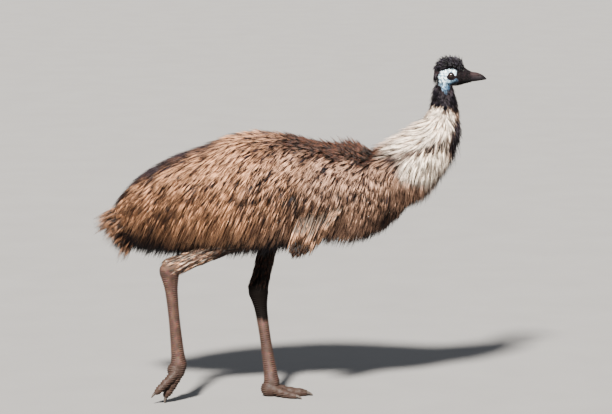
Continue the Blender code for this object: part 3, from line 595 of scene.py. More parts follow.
def nearest_station(points):
    """The trunk's station and turn nearest to each point."""
    ts = np.linspace(0, skin_trunk.end, 160)
    turns = np.linspace(-math.pi, math.pi, 49)[:-1]
    grid_t, grid_turn = (g.ravel() for g in np.meshgrid(ts, turns, indexing="ij"))
    tree = KDTree(len(grid_t))
    for i, p in enumerate(skin_trunk.point(grid_t, grid_turn)):
        tree.insert(p, i)
    tree.balance()
    found = [tree.find(p)[1] for p in points]
    return grid_t[found], grid_turn[found]


def along_limb(points, start, end):
    """The share of the way from start to end, and the distance from that line."""
    start, end = np.array(start), np.array(end)
    way = end - start
    share = (points - start) @ way / (way @ way)
    nearest = start + np.clip(share, 0, 1)[:, None] * way
    return share, np.linalg.norm(points - nearest, axis=1)


def skin_zones(points):
    """What the skin's material needs: the coat's zones, the legs' masks and scute bands, the bare face, and
    the body's shadow painted as shade on the far leg.
    """
    leg, band, foot = np.zeros((3, len(points)))
    near = np.full(len(points), 9.0)
    for side, (knee, hock, joint) in LEGS.items():
        limbs = [(knee, hock, 0.5), (hock, joint, 1.0)]
        limbs += [(*FEET[side][toe][:2], 1.0) for toe in TOE_REACH]
        for k, (start, end, scaled) in enumerate(limbs):
            share, away = along_limb(points, start, end)
            closer = away < near
            near = np.where(closer, away, near)
            band = np.where(closer, share * math.dist(start, end), band)
            leg = np.where(closer & (away < 0.075), scaled, leg)
            foot = np.where(closer, ease(0.86, 1.0, share) if k == 1 else float(k > 1), foot)
    x, y, z = points.T
    leg = leg * (1 - ease(0.60, 0.72, z))
    zones = coat_zones(*nearest_station(points))
    ragged = z + 0.005 * np.sin(x * 160) + 0.003 * np.sin(x * 430 + y * 250)
    # painted shade: the body's shadow on the far, left leg, from a ragged line below the hock upwards
    shade = np.minimum(leg * 2, 1) * ease(0.298, 0.322, ragged) * ease(0.0, 0.01, y)
    face = bare_face(points) * ease(1.19, 1.23, z)
    return {**zones, "leg": leg, "foot": foot * leg, "shade": shade, "band": band, "face": face}


def coat_zones(t, turn):
    """The markings of skin and coat: how rusty, how pale, how black and how dark a place on the trunk is. The
    black and the dark also hold painted shade: under the belly, at the foot of the neck, along a fold across
    the neck and behind the wing.
    """
    aside = np.abs(turn)
    wobble = waves(t, turn) * 0.22
    rust = 1 - ease(3.6, 7.2, t + wobble * 3)
    front = 1 - ease(9.5, 10.1, t)
    later = ease(6.6, 7.4, t)
    ridge = (1 - ease(0.80, 1.30, aside + wobble)) * front * (0.30 + 0.70 * ease(4.2, 6.2, t))
    shoulder = 0.42 * (1 - ease(1.25, 1.80, aside + wobble)) * front * ease(5.4, 6.8, t)
    # painted shade: the underside of the trunk is painted darker, as shade under the body
    under = ease(2.48 + 0.22 * later, 2.92 + 0.16 * later, aside) * (1 - ease(9.6, 10.8, t))
    patches = 0.6 * ease(0.50, 0.80, waves(t, turn, 2.7)) * (1 - ease(6.0, 8.5, t))
    # painted shadow at the foot of the neck, on its upper side
    painted_shoulder_shadow = hill((t - 9.92) / 0.30, (aside - 1.02) / 0.40)
    slate = 0.80 * (1 - ease(0.40, 0.85, aside + wobble)) * (1 - ease(3.2, 4.8, t))
    slate = slate * (0.62 + 0.38 * ease(-0.3, 0.5, waves(t, turn, 2.1)))
    throat = ease(2.25, 2.62, aside) * ease(11.6, 12.2, t)
    throat = np.maximum(throat, ease(2.75, 3.0, aside) * ease(10.4, 11.0, t))
    nape = 0.45 * (1 - ease(0.12, 0.40, aside)) * ease(9.5, 10.5, t)
    # painted shadow: the fold of feathers across the neck is marked by a dark band
    painted_fold_shadow = hill((aside - np.interp(t, SWEEP_STATIONS, SWEEP_TURNS)) / SWEEP_REACH)
    painted_fold_shadow = painted_fold_shadow * ease(10.2, 10.6, t) * (1 - ease(12.0, 12.5, t))
    collar = 0.10 * np.sin(turn * 7 + 1.0) + 0.07 * np.sin(turn * 17 + 2.0) + 0.22 * hill((aside - 1.9) / 0.5)
    black = ease(*BLACK_FROM, t + wobble * 0.6 + collar)
    edge = np.interp(aside, CREAM_TURNS, CREAM_FROM)
    pale = ease(edge - 0.12, edge + 0.40, t + wobble)
    pale = pale * (1 - throat * 0.85) * (1 - nape) * (1 - black) * (1 - 0.9 * painted_shoulder_shadow)
    throat = 0.9 * throat * (1 - ease(13.0, 13.6, t))
    black = np.maximum.reduce([black, throat, slate, 0.72 * under, 0.76 * painted_fold_shadow, 0.45 * painted_shoulder_shadow])
    black = 1 - (1 - np.clip(black, 0, 1)) ** 2
    places = [
        amount * hill((t - at) / reach, (aside - math.radians(turned)) / math.radians(around))
        for at, turned, reach, around, amount in DARK_PLACES
    ]
    dark = np.maximum.reduce([ridge, shoulder, under, patches, painted_shoulder_shadow, *places])
    return {"rust": rust, "pale": pale * (1 - black), "black": black, "dark": dark}


def grow(loft, lie, t, turn, length, depth, bend, tufts, clump, sink=SINK, droop=1.0):
    """Middle lines of feathers rooted at t and turn and drawn together in their tufts, with the width and
    outward vectors there. It also gives the place that each feather's tip reaches."""
    t, turn = t.copy(), turn.copy()
    normal = loft.frame(t, turn)[2]
    point = loft.point(t, turn) - normal * sink
    points, across, outward = [], [], []
    for k, share in enumerate(BENDS):
        back, down, normal, (t_scale, turn_scale) = loft.frame(t, turn)
        angle = (lie(t, turn) + bend * (0.5 + 0.5 * share))[:, None]
        lying = back * np.cos(angle) + down * np.sin(angle)
        held = 1 - droop * (1 - np.clip((normal[:, 2:] + 0.55) / 0.75, 0, 1))
        rise = ((depth + sink) / length)[:, None] * (1.25 - 0.55 * share)
        way = unit(lying * held + HANG * (1 - held) + normal * rise)
        points.append(point)
        across.append(unit(np.cross(normal, way)))
        outward.append(unit(np.cross(way, across[-1])))
        if k == len(BENDS) - 1:
            break
        step = (length * (BENDS[k + 1] - share))[:, None]
        point = point + way * step
        backwards = np.einsum("ij,ij->i", way, back) * step[:, 0] / t_scale
        downwards = np.einsum("ij,ij->i", way, down) * step[:, 0] / turn_scale
        t = np.clip(t - backwards, 0.05, loft.end)
        turn = turn + np.where(turn >= 0, 1, -1) * downwards
    points = gathered(np.array(points), tufts, clump)
    return (points, np.array(across), np.array(outward)), (t, turn)


def gathered(points, tufts, clump):
    """Draws the feathers of each tuft together towards their tips."""
    middle = [[np.bincount(tufts, ring[:, axis]) for axis in range(3)] for ring in points]
    middle = np.moveaxis(np.array(middle), 1, 2) / np.bincount(tufts)[None, :, None]
    pull = clump * np.array(BENDS)[:, None, None]
    return points + (middle[:, tufts] - points) * pull


PROFILE = (0.80, 1.0)  # of a feather's width, ring by ring
THICKNESS = 0.32  # of its width
UV_PATCH = 0.003


def feather_mesh(name, points, across, outward, width, uv, numbers):
    """Joins closed three-sided feathers into one mesh, with a UV patch each and their numbers stored."""
    count = points.shape[1]
    rows = []
    for k, share in enumerate(PROFILE):
        half = (width * share / 2)[:, None]
        crown = points[k] + outward[k] * half * 2 * THICKNESS
        rows += [points[k] - across[k] * half, crown, points[k] + across[k] * half]
    rows.append(points[-1])
    per = len(rows)
    corners = np.stack(rows, axis=1).reshape(-1, 3)
    faces = [(2, 1, 0)]
    for k in range(len(PROFILE) - 1):
        for i in range(3):
            a, b = k * 3 + i, k * 3 + (i + 1) % 3
            faces += [(a, b, b + 3), (a, b + 3, a + 3)]
    last = (len(PROFILE) - 1) * 3
    faces += [(last + i, last + (i + 1) % 3, per - 1) for i in range(3)]
    loops = (np.array(faces)[None] + (np.arange(count) * per)[:, None, None]).ravel()
    mesh = bpy.data.meshes.new(name)
    mesh.vertices.add(len(corners))
    mesh.vertices.foreach_set("co", corners.astype(np.float32).ravel())
    mesh.loops.add(len(loops))
    mesh.loops.foreach_set("vertex_index", loops.astype(np.int32))
    mesh.polygons.add(len(loops) // 3)
    mesh.polygons.foreach_set("loop_start", np.arange(0, len(loops), 3, dtype=np.int32))
    mesh.update(calc_edges=True)
    shade_smooth(mesh)
    along = np.array([share for share in BENDS[:-1] for _ in range(3)] + [1.0])
    sideways = np.array([-1, 0, 1] * len(PROFILE) + [0])
    give(mesh, "along", np.tile(along, count))
    for key, values in numbers.items():
        give(mesh, key, np.repeat(values, per))
    patch = np.stack([along - 0.5, sideways * 0.5], axis=1) * UV_PATCH
    place = np.repeat(uv, per, axis=0) + np.tile(patch, (count, 1))
    layer = mesh.uv_layers.new(name="OFBake")
    layer.data.foreach_set("uv", np.clip(place, 0, 1)[loops].astype(np.float32).ravel())
    mesh.update()
    return placed(name, mesh)


def sown(rng, loft, count, density, t_range):
    """Roots of tufts over a loft, as many to an area as density says."""
    edges = np.linspace(*t_range, 120), np.linspace(-math.pi, math.pi, 97)
    middles = [(ends[1:] + ends[:-1]) / 2 for ends in edges]
    t, turn = (grid.ravel() for grid in np.meshgrid(*middles, indexing="ij"))
    t_scale, turn_scale = loft.frame(t, turn)[3]
    weight = t_scale * turn_scale * density(t, turn)
    cell = rng.choice(len(t), count, p=weight / weight.sum())
    t = t[cell] + rng.uniform(-0.5, 0.5, count) * (edges[0][1] - edges[0][0])
    turn = turn[cell] + rng.uniform(-0.5, 0.5, count) * (edges[1][1] - edges[1][0])
    return t, turn


def tufted(rng, t, turn, loft, spread):
    """Each tuft's feathers: their roots, and the number of the tuft of each."""
    tufts = np.repeat(np.arange(len(t)), TUFT)
    t, turn = t[tufts], turn[tufts]
    t_scale, turn_scale = loft.frame(t, turn)[3]
    t = np.clip(t + rng.normal(0, spread, len(t)) / t_scale, 0.12, loft.end)
    turn = turn + rng.normal(0, spread, len(t)) / np.maximum(turn_scale, 0.01)
    return t, turn, tufts


def of_tuft(rng, tufts, low, high):
    """A random number for each tuft, given to all its feathers."""
    return rng.uniform(low, high, tufts.max() + 1)[tufts]


def marks(tufts, rust=0.0, pale=0.0, black=0.0, dark=0.0):
    """The same markings for every feather."""
    values = {"rust": rust, "pale": pale, "black": black, "dark": dark}
    return {key: np.full(len(tufts), value) for key, value in values.items()}


def flank(t, turn):
    """How much longer the feathers are low on the flanks."""
    off = (np.abs(turn) - FLANK["turn"]) / FLANK["spread"], (t - FLANK["t"]) / FLANK["reach"]
    return 1 + FLANK["longer"] * hill(*off)


def trunk_density(t, turn):
    """How densely a place has feathers: least under the belly and on bare skin, and most on the neck."""
    bare = bare_face(skin_trunk.point(t, turn))
    base = 1.0 + 1.3 * ease(10, 12, t) + 1.6 * ease(13.2, 14.2, t)
    return base * np.where((np.abs(turn) > BELLY_TURN) & (t < 8.2), 0.6, 1.0) * (1 - 0.97 * bare)


def loft_uv(loft, t, turn):
    """The place on an unwrap of the loft: along its axis, and round it."""
    return np.stack([t / loft.end, turn / (2 * math.pi) % 1.0], axis=1)


COAT_PIECES = [
    # name, the stations from and to, how many feathers, the record's slot
    ("coat_tail", 0.3, 2.3, 12400, "tail_feathers"),
    ("coat_rump_rear", 2.3, 3.8, 15200, "rump_feathers"),
    ("coat_rump_middle", 3.8, 5.2, 15600, "rump_feathers"),
    ("coat_rump_front", 5.2, 6.7, 15600, "rump_feathers"),
    ("coat_breast_rear", 6.7, 8.3, 14200, "breast_feathers"),
    ("coat_breast_front", 8.3, 9.9, 12000, "breast_feathers"),
    ("coat_neck_low", 9.9, 11.7, 11600, "lower_neck_feathers"),
    ("coat_neck_high", 11.7, 14.3, 11600, "lower_neck_feathers"),
    ("coat_upper_neck", 14.1, 15.95, 5300, "upper_neck_feathers"),
]


def trunk_coat(rng, name, start, end, count):
    """The lying coat between two stations. The neck's is longer, and some tufts are dark or stray."""
    t, turn = sown(rng, skin_trunk, int(count * DETAIL / TUFT), trunk_density, (start, end))
    t, turn, tufts = tufted(rng, t, turn, skin_trunk, spread=0.0019)
    aside = np.abs(turn)
    belly = ease(1.9, 2.5, aside) * (1 - ease(9.8, 11.2, t))
    front = ease(1.9, 2.6, aside) * ease(11.4, 12.4, t) * (1 - ease(13.6, 14.2, t))
    neck = ease(9.9, 11.0, t) * (1 - ease(13.4, 14.0, t))
    nape = ease(14.9, 15.6, t) * (1 - ease(0.8, 2.2, aside))
    relief = waves(t, turn, 2.4) * (1 - ease(9.5, 11.5, t))
    bend = waves(t, turn, 1.3) * 0.16 + of_tuft(rng, tufts, -0.24, 0.24) + rng.normal(0, 0.07, len(t))
    bend = bend * (1 + 0.9 * ease(13.9, 14.4, t)) * (1 - 0.3 * neck)
    hanging = 1 + ease(1.55, 2.2, aside) * (np.interp(t, HANG_STATIONS, HANG_LENGTHS) - 1)
    length = at_station(FEATHER_LENGTH, t) * flank(t, turn) * of_tuft(rng, tufts, 0.70, 1.10)
    length = length * rng.uniform(0.84, 1.06, len(t)) * hanging * (1 + 0.28 * neck)
    level = of_tuft(rng, tufts, 0.15, 1.02) * (1 - 0.4 * neck) + 0.30 * neck + 0.16 * relief
    level = np.clip(level + rng.normal(0, 0.07, len(t)), 0.1, 1.2)
    depth = at_station(COAT_DEPTH, t) * level * (1 - 0.3 * belly + 0.30 * front) * (1 + 0.9 * nape)
    stray = of_tuft(rng, tufts, 0, 1) < 0.012 + 0.10 * neck
    depth = depth + stray * (0.008 + 0.016 * neck)
    place = skin_trunk, lie_angle, t, turn
    lines, (tip_t, tip_turn) = grow(*place, length, depth, bend, tufts, clump=0.42, droop=0.92)
    width = at_station(FEATHER_WIDTH, t) * rng.uniform(0.75, 1.25, len(t))
    numbers = coat_zones(tip_t, tip_turn)
    streak = (of_tuft(rng, tufts, 0, 1) < 0.13 + 0.09 * (t > 10)) & (tip_t < 13.4)
    fading = np.where(streak, 0.1, of_tuft(rng, tufts, 0.65, 1.20))
    numbers["pale"] = np.clip(numbers["pale"] * fading, 0, 1)
    numbers["dark"] = np.where(streak, 1.0, numbers["dark"])
    slaty = streak & (t < 9.9) & (of_tuft(rng, tufts, 0, 1) < 0.6)
    numbers["black"] = np.maximum(numbers["black"], 0.85 * slaty)
    width = np.where(streak & (t > 10), width * 0.7, width)
    # painted shade: tufts that lie lower in the coat's relief are a little darker, as shade in the hollows
    # between locks
    numbers["tone"] = np.clip(tones(rng, tufts, own=0.46) + 0.12 * relief, 0, 1)
    return feather_mesh(name, *lines, width, loft_uv(skin_trunk, t, turn), numbers)


def tones(rng, tufts, own=0.22):
    """How light each feather is, from 0 to 1: mostly its tuft's tone, with a little of its own."""
    return np.clip(of_tuft(rng, tufts, 0, 1) * (1 - own) + rng.uniform(0, own, len(tufts)), 0, 1)


def straight(t, turn):
    """A lie straight back along the axis."""
    return np.zeros(len(t))


# Where tufts stand up: name, stations, how far round, feathers, lengths, rises and how much they clump.
RIDGES = [
    ("coat_ridge", (5.2, 7.6, 9.8), 0.34, 5000, (0.060, 0.100), (0.030, 0.070), 0.50),
    ("coat_crest", (7.2, 9.4, 10.4), 0.26, 1500, (0.075, 0.125), (0.045, 0.112), 0.85),
]


def ridge_coat(rng, name, stations, around, count, lengths, rises, clump):
    """Dark tufts that stand up along the back, from the hips to the foot of the neck."""
    count = int(count * DETAIL / TUFT)
    t, turn = rng.triangular(*stations, count), rng.normal(0, around, count)
    t, turn, tufts = tufted(rng, t, turn, skin_trunk, spread=0.0028)
    length = of_tuft(rng, tufts, *lengths) * rng.uniform(0.75, 1.1, len(t))
    high = (0.35 + 0.65 * ease(7.2, 9.0, t)) * (1 - 0.75 * ease(9.7, 10.4, t))
    depth = of_tuft(rng, tufts, *rises) * high * (1 - 0.4 * np.abs(turn))
    bend = of_tuft(rng, tufts, -0.9, 0.9) + rng.normal(0, 0.18, len(t))
    lines, _ = grow(skin_trunk, straight, t, turn, length, depth, bend, tufts, clump)
    numbers = marks(tufts, rust=0.4, dark=1.0)
    numbers["tone"] = tones(rng, tufts)
    width = rng.uniform(0.0018, 0.0030, len(t))
    return feather_mesh(name, *lines, width, loft_uv(skin_trunk, t, turn), numbers)


def hair_lie(t, turn):
    """The lie of the head's feathers."""
    return np.abs(turn) * (1.0 - 0.5 * ease(1.0, 2.0, t))


def head_density(t, turn):
    """How densely a place of the head has feathers: its crown, lores, back and chin."""
    points = head.point(t, turn)
    x, _, z = points.T
    crown, lores = ease(1.320, 1.335, z), 1.3 * ease(0.646, 0.660, x)
    back, chin = 1 - ease(0.588, 0.602, x), 0.9 * (1 - ease(1.276, 1.288, z))
    amount = np.maximum.reduce([crown, lores, back, chin])
    return amount * (1 - 0.97 * bare_face(points)) * (1 - ease(0.712, 0.728, x))


# Hair-like feathers of the head: name, feathers, a tuft's spread, how much they draw together, and the
# length and lift of the short ones and of the crown's.
HEAD_HAIR = [
    ("coat_head", 7600, 0.0016, 0.45, (0.0085, 0.0120), (0.0020, 0.0090)),
    ("coat_crown", 3000, 0.0014, 0.92, (0.0000, 0.0400), (0.0000, 0.0380)),
]


def head_coat(rng, name, count, spread, clump, lengths, lifts):
    """Black feathers, tousled on the crown, short on the lores and the cheeks and longer at the chin."""
    spiky = name == "coat_crown"
    density = crown_density if spiky else head_density
    t, turn = sown(rng, head, int(count * DETAIL / TUFT), density, (0.5, 6.15))
    t, turn, tufts = tufted(rng, t, turn, head, spread)
    points = head.point(t, turn)
    x, _, z = points.T
    crown = crown_share(points)
    chin = (1 - ease(1.268, 1.284, z)) * ease(0.630, 0.645, x)
    longer = np.maximum(crown, 0.9 * chin)
    length = (lengths[0] + lengths[1] * longer) * of_tuft(rng, tufts, 0.50 if spiky else 0.65, 1.25)
    depth = (lifts[0] + lifts[1] * longer) * of_tuft(rng, tufts, 0.10, 1.30)
    bend = of_tuft(rng, tufts, -1.5, 1.5) * (0.25 + crown) + rng.normal(0, 0.16, len(t))
    length = np.maximum(length, 0.006)
    lines, _ = grow(head, hair_lie, t, turn, length, depth, bend, tufts, clump, sink=0.0016, droop=0.0)
    nape = (t < 1.7) & (z < 1.335) & (not spiky)
    fall = of_tuft(rng, tufts, 0.022, 0.050) * (1 + 0.1 * rng.normal(size=len(t)))
    aside = of_tuft(rng, tufts, -0.20, 0.20)
    down = np.stack([-0.12 * fall - 0.0030, aside * fall, -fall], axis=1)
    for share, line in zip(BENDS, lines[0]):
        line[nape] = (lines[0][0] + down * share)[nape]
    over = np.maximum(bare_face(lines[0][1]), bare_face(lines[0][-1]))[:, None]
    for line in lines[0][1:]:
        line[:] = line + (lines[0][0] - line) * 0.78 * over
    numbers = marks(tufts, black=1.0)
    numbers["tone"] = 0.75 * tones(rng, tufts) * (1 - 0.75 * ease(0.648, 0.660, x) * (1 - crown))
    width = 0.0008 + (0.0018 if spiky else 0.0008) * crown + 0.0006 * nape
    width = width * rng.uniform(0.8, 1.3, len(t))
    return feather_mesh(name, *lines, width, loft_uv(head, t, turn), numbers)


def crown_share(points):
    """How much a place is of the crown, which is fuller in front than behind."""
    x, _, z = points.T
    high = ease(1.318, 1.344, z) * (1 - ease(0.672, 0.704, x))
    return high * (1 - 0.50 * (1 - ease(0.585, 0.620, x)))


def crown_density(t, turn):
    return crown_share(head.point(t, turn)) + 0.001


# Feathers that run between neighbouring quills: the quills, how many feathers, the way out of the coat,
# the markings, how far a tuft strays, and the widths.
QUILLED = {
    "coat_tail_end": (TAIL_END, 3600, (-0.5, 0.05, 0.8),
                      {"rust": 0.75, "black": 0.1, "dark": 0.62}, 0.012, (0.0022, 0.0036)),
    "wing_coat": (WING_QUILLS, 3800, (0.2, 1.0, 0.25),
                  {"rust": 0.80, "pale": 0.05}, 0.010, (0.0024, 0.0038)),
    "wing_tip": (WING_TIP, 440, (0.2, 1.0, 0.25),
                 {"rust": 0.3, "black": 0.2, "dark": 0.9}, 0.005, (0.0022, 0.0034)),
}


def quilled_coat(rng, kind, name, side=1.0):
    """Feathers that run between neighbouring quills, each a root and a tip."""
    quills, count, out, markings, stray, width = QUILLED[kind]
    mirror = np.array([1, side, 1])
    ends = np.array(quills) * mirror
    tufts = np.repeat(np.arange(int(count * DETAIL / TUFT)), TUFT)
    tuft_count = tufts.max() + 1
    at = of_tuft(rng, tufts, 0, len(quills) - 1) + rng.normal(0, 0.04, len(tufts))
    at = np.clip(at, 0, len(quills) - 1.001)
    low, part = at.astype(int), (at % 1)[:, None, None]
    root, tip = np.moveaxis(ends[low] * (1 - part) + ends[low + 1] * part, 1, 0)
    start = of_tuft(rng, tufts, 0.0, 0.45)[:, None]
    reach = of_tuft(rng, tufts, 0.55, 1.0)[:, None] * rng.uniform(0.93, 1.0, (len(tufts), 1))
    reach = np.maximum(reach, start + 0.35)
    shift = rng.normal(0, stray, (tuft_count, 3))[tufts] + rng.normal(0, stray * 0.25, (len(tufts), 3))
    begin = root + (tip - root) * start + shift * 0.6
    finish = root + (tip - root) * reach + shift
    way = unit(finish - begin)
    across = unit(np.cross(np.array(out) * mirror, way))
    outward = unit(np.cross(way, across))
    bow = of_tuft(rng, tufts, 0.002, 0.010)[:, None]
    points = np.array([begin + (finish - begin) * s + outward * bow * math.sin(math.pi * s) for s in BENDS])
    points = gathered(points, tufts, 0.4)
    numbers = marks(tufts, **markings)
    if kind == "wing_coat":
        x, _, z = points[1].T
        edge_x, edge_z, lean = WING_EDGE
        ahead = x - edge_x - (z - edge_z) * lean
        numbers["pale"] += 0.24 * (1 - ease(-0.042, -0.026, ahead)) * ease(0.68, 0.74, z)
        numbers["dark"] += 0.50 * ease(-0.018, 0.002, ahead) * ease(0.66, 0.70, z)
    numbers["tone"] = 0.26 + 0.48 * tones(rng, tufts)
    uv = np.stack([0.05 + 0.9 * at / len(quills), 0.1 + 0.8 * start[:, 0]], axis=1)
    lines = points, np.array([across] * len(BENDS)), np.array([outward] * len(BENDS))
    return feather_mesh(name, *lines, rng.uniform(*width, len(tufts)), uv, numbers)


def shank_coat(rng, side):
    """Short feathers that lie down the shank, thinning out above the hock."""
    knee, hock, _ = (np.array(p) for p in LEGS[side])
    count = int(SHANK_FEATHERS * DETAIL / TUFT)
    share = 0.06 + 0.88 * rng.random(count) ** 0.9
    turn = rng.uniform(-math.pi, math.pi, count)
    tufts = np.repeat(np.arange(count), TUFT)
    share = share[tufts] + rng.normal(0, 0.010, len(tufts))
    turn = turn[tufts] + rng.normal(0, 0.07, len(tufts))
    along = unit(hock - knee)
    side_way = unit(np.array([0, 1.0, 0]) - along * along[1])
    fore = np.cross(side_way, along)
    shares, fore_reach, side_reach = np.array(SHANK[::-1]).T
    length = of_tuft(rng, tufts, 0.036, 0.064) * rng.uniform(0.85, 1.1, len(tufts))
    lift = of_tuft(rng, tufts, 0.0010, 0.0065)
    drift = of_tuft(rng, tufts, -0.10, 0.10)
    points, across, outward = [], [], []
    for part in BENDS:
        at = share - length * part / np.linalg.norm(knee - hock)
        ahead = np.cos(turn + drift * part)[:, None]
        beside = np.sin(turn + drift * part)[:, None]
        out = fore * ahead + side_way * beside
        skin_at = fore * ahead * np.interp(at, shares, fore_reach)[:, None]
        skin_at += side_way * beside * np.interp(at, shares, side_reach)[:, None]
        points.append(hock + (knee - hock) * at[:, None] + skin_at + out * (lift * part - 0.002)[:, None])
        across.append(unit(np.cross(out, along)))
        outward.append(out)
    # painted light and shade: near the hock, each shank's outer side is painted paler with streaks, and its
    # inner side and upper part darker
    lit = ease(-0.1, 0.5, np.sin(turn) * SIDES[side]) * (1 - ease(0.42, 0.60, share))
    streaks = np.sin(turn * 13 + 2.0 * np.sin(share * 9)) + 0.7 * np.sin(turn * 23 + share * 17)
    numbers = marks(tufts, rust=0.4)
    numbers["pale"] = lit * 0.22 * ease(0.1, 0.7, streaks)
    numbers["dark"] = np.where(of_tuft(rng, tufts, 0, 1) < 0.42, 1.0, 1 - 0.85 * lit)
    numbers["tone"] = tones(rng, tufts)
    uv = np.stack([0.05 + 0.9 * share, turn / (2 * math.pi) % 1.0], axis=1)
    lines = gathered(np.array(points), tufts, 0.3), np.array(across), np.array(outward)
    return feather_mesh(f"coat_shank_{side}", *lines, rng.uniform(0.0016, 0.0026, len(tufts)), uv, numbers)


def bill_halves():
    """The upper and lower bill, with the nostrils and the groove round them."""
    whole = closed_rings("upper_bill_horn", head.rings(64, 48, 5.75, head.end))
    points = read_points(whole.data)
    x, y, z = points.T
    centre, reaches, depth = NOSTRIL_GROOVE
    points[:, 1] -= np.sign(y) * depth * hill(from_middle(x, z, centre, reaches))
    points[:, 2] += 0.0010 * hill(y / 0.0035) * ease(MOUTH_Z + 0.008, MOUTH_Z + 0.014, z)
    write_points(whole.data, points)
    lower = placed("lower_bill_horn", whole.data.copy())
    boolean(whole, [box("below", (0.6, -0.1, 1.2), (0.9, 0.1, MOUTH_Z + BILL_PLAY))], "DIFFERENCE")
    boolean(lower, [box("above", (0.6, -0.1, MOUTH_Z - BILL_PLAY), (0.9, 0.1, 1.4))], "DIFFERENCE")
    for side in SIDES.values():
        at = (NOSTRIL[0], side * NOSTRIL[1], NOSTRIL[2])
        boolean(whole, [ball("nostril", at, NOSTRIL_SIZE, 24, 14)], "DIFFERENCE")
    for half in (whole, lower):
        shade_smooth(half.data)
        half.data.set_sharp_from_angle(angle=math.radians(40))
    return whole, lower


def eyeball(name, side):
    eye = ball(name, (0, 0, 0), [EYE_RADIUS] * 3, 48, 32)
    points = read_points(eye.data)
    toward = unit(points) @ unit(np.array([GAZE[0], GAZE[1] * side, GAZE[2]]))
    give(eye.data, "gaze", toward)
    cornea = 1 + 0.03 * ease(0.80, 0.98, toward)
    write_points(eye.data, points * cornea[:, None] + np.array(eye_centre(side)))
    shade_smooth(eye.data)
    return eye


def claw(side, toe):
    start, end, tip = (np.array(p) for p in FEET[side][toe])
    path = toe_path(start, end)
    begin, along = path[-1], unit(path[-1] - path[-2])
    turns = np.arange(20) * 2 * math.pi / 20
    rings = []
    for share in np.linspace(0, 0.94, 12):
        middle = begin + (tip - begin) * share + np.array([0, 0, CLAW_DROP * math.sin(math.pi * share)])
        middle = middle - along * 0.004 * (1 - share)
        way = unit(along * (1 - share) + unit(tip - begin) * share)
        wide = unit(np.array([0, 1.0, 0]) - way * way[1])
        high = np.cross(wide, way)
        size = TOE_REACH[toe] * (0.60 - 0.42 * share**1.5)
        rings.append([middle + (high * math.cos(a) * 0.85 + wide * math.sin(a)) * size for a in turns])
    made = closed_rings(f"claw_horn_{toe}_{side}", rings, tip=tip)
    points = read_points(made.data)
    points[:, 2] = np.maximum(points[:, 2], 0.0001)
    write_points(made.data, points)
    shade_smooth(made.data)
    return made


class Shader:
    """A short way to write node materials."""

    def __init__(self, name):
        self.material = bpy.data.materials.new(name)
        self.material.use_nodes = True
        self.tree = self.material.node_tree
        self.surface = self.tree.nodes["Principled BSDF"]

    def link(self, value, socket):
        if isinstance(value, bpy.types.NodeSocket):
            self.tree.links.new(value, socket)
        else:
            socket.default_value = value

    def node(self, kind, output, inputs, **settings):
        """One output of a new node, after its settings and then its inputs are set."""
        node = self.tree.nodes.new("ShaderNode" + kind)
        for key, value in settings.items():
            setattr(node, key, value)
        for key, value in inputs.items():
            self.link(value, node.inputs[key])
        return node.outputs[output]

    def number(self, name):
        return self.node("Attribute", "Fac", {}, attribute_name=name)

    def place(self, axis=None):
        """Where a point is on the piece, or one of its coordinates."""
        point = self.node("TexCoord", "Object", {})
        return point if axis is None else self.node("SeparateXYZ", axis, {0: point})

    def math(self, operation, a, b=0.0, clamp=False):
        return self.node("Math", 0, {0: a, 1: b}, operation=operation, use_clamp=clamp)

    def times(self, a, b, clamp=False):
        return self.math("MULTIPLY", a, b, clamp)

    def plus(self, a, b, clamp=False):
        return self.math("ADD", a, b, clamp)

    def minus(self, a, b):
        return self.math("SUBTRACT", a, b)

    def mix(self, share, a, b, blend="MIX"):
        inputs = {"Factor": share, "A": a, "B": b}
        return self.node("Mix", "Result", inputs, data_type="RGBA", blend_type=blend)

    def ramp(self, value, stops):
        """Colours between stops, where one number stands for a grey."""
        node = self.tree.nodes.new("ShaderNodeValToRGB")
        elements = node.color_ramp.elements
        stops = [(at, (*np.broadcast_to(colour, 3), 1)) for at, colour in stops]
        for i in (0, -1):
            elements[i].position, elements[i].color = stops[i]
        for position, colour in stops[1:-1]:
            elements.new(position).color = colour
        self.link(value, node.inputs["Fac"])
        return node.outputs["Color"]

    def noise(self, scale, detail=3.0):
        inputs = {"Scale": scale, "Detail": detail, "Roughness": 0.55, "Vector": self.place()}
        return self.node("TexNoise", "Fac", inputs)

    def cells(self, scale, feature="F1", output="Distance"):
        return self.node("TexVoronoi", output, {"Scale": scale, "Vector": self.place()}, feature=feature)

    def bump(self, height, strength, distance, **under):
        """The normal over a height. Under it may be the Normal of another bump."""
        inputs = {"Strength": strength, "Distance": distance, "Height": height, **under}
        return self.node("Bump", "Normal", inputs)

    def finished(self, colour, roughness, more):
        """The material, once its surface has its colour, its roughness and its other inputs."""
        for key, value in {"Base Color": colour, "Roughness": roughness, **more}.items():
            self.link(value, self.surface.inputs[key])
        return self.material


# The coat's colours from root to tip, in linear RGB.
GREY_BROWN = [
    (0.00, (0.008, 0.005, 0.004)), (0.54, (0.026, 0.015, 0.011)), (0.68, (0.440, 0.258, 0.170)),
    (0.91, (0.700, 0.430, 0.300)), (0.96, (0.024, 0.017, 0.021)), (1.00, (0.005, 0.004, 0.009)),
]
RUST_BROWN = [
    (0.00, (0.008, 0.004, 0.003)), (0.52, (0.030, 0.014, 0.008)), (0.67, (0.640, 0.310, 0.158)),
    (0.91, (0.890, 0.505, 0.290)), (0.96, (0.022, 0.014, 0.015)), (1.00, (0.005, 0.004, 0.008)),
]
CREAM = [
    (0.00, (0.120, 0.075, 0.052)), (0.34, (0.700, 0.500, 0.360)), (0.54, (0.980, 0.830, 0.670)),
    (0.94, (1.000, 0.910, 0.800)), (1.00, (0.300, 0.230, 0.210)),
]
BLACK = [
    (0.00, (0.007, 0.003, 0.003)), (0.50, (0.009, 0.006, 0.009)), (1.00, (0.006, 0.006, 0.013)),
]
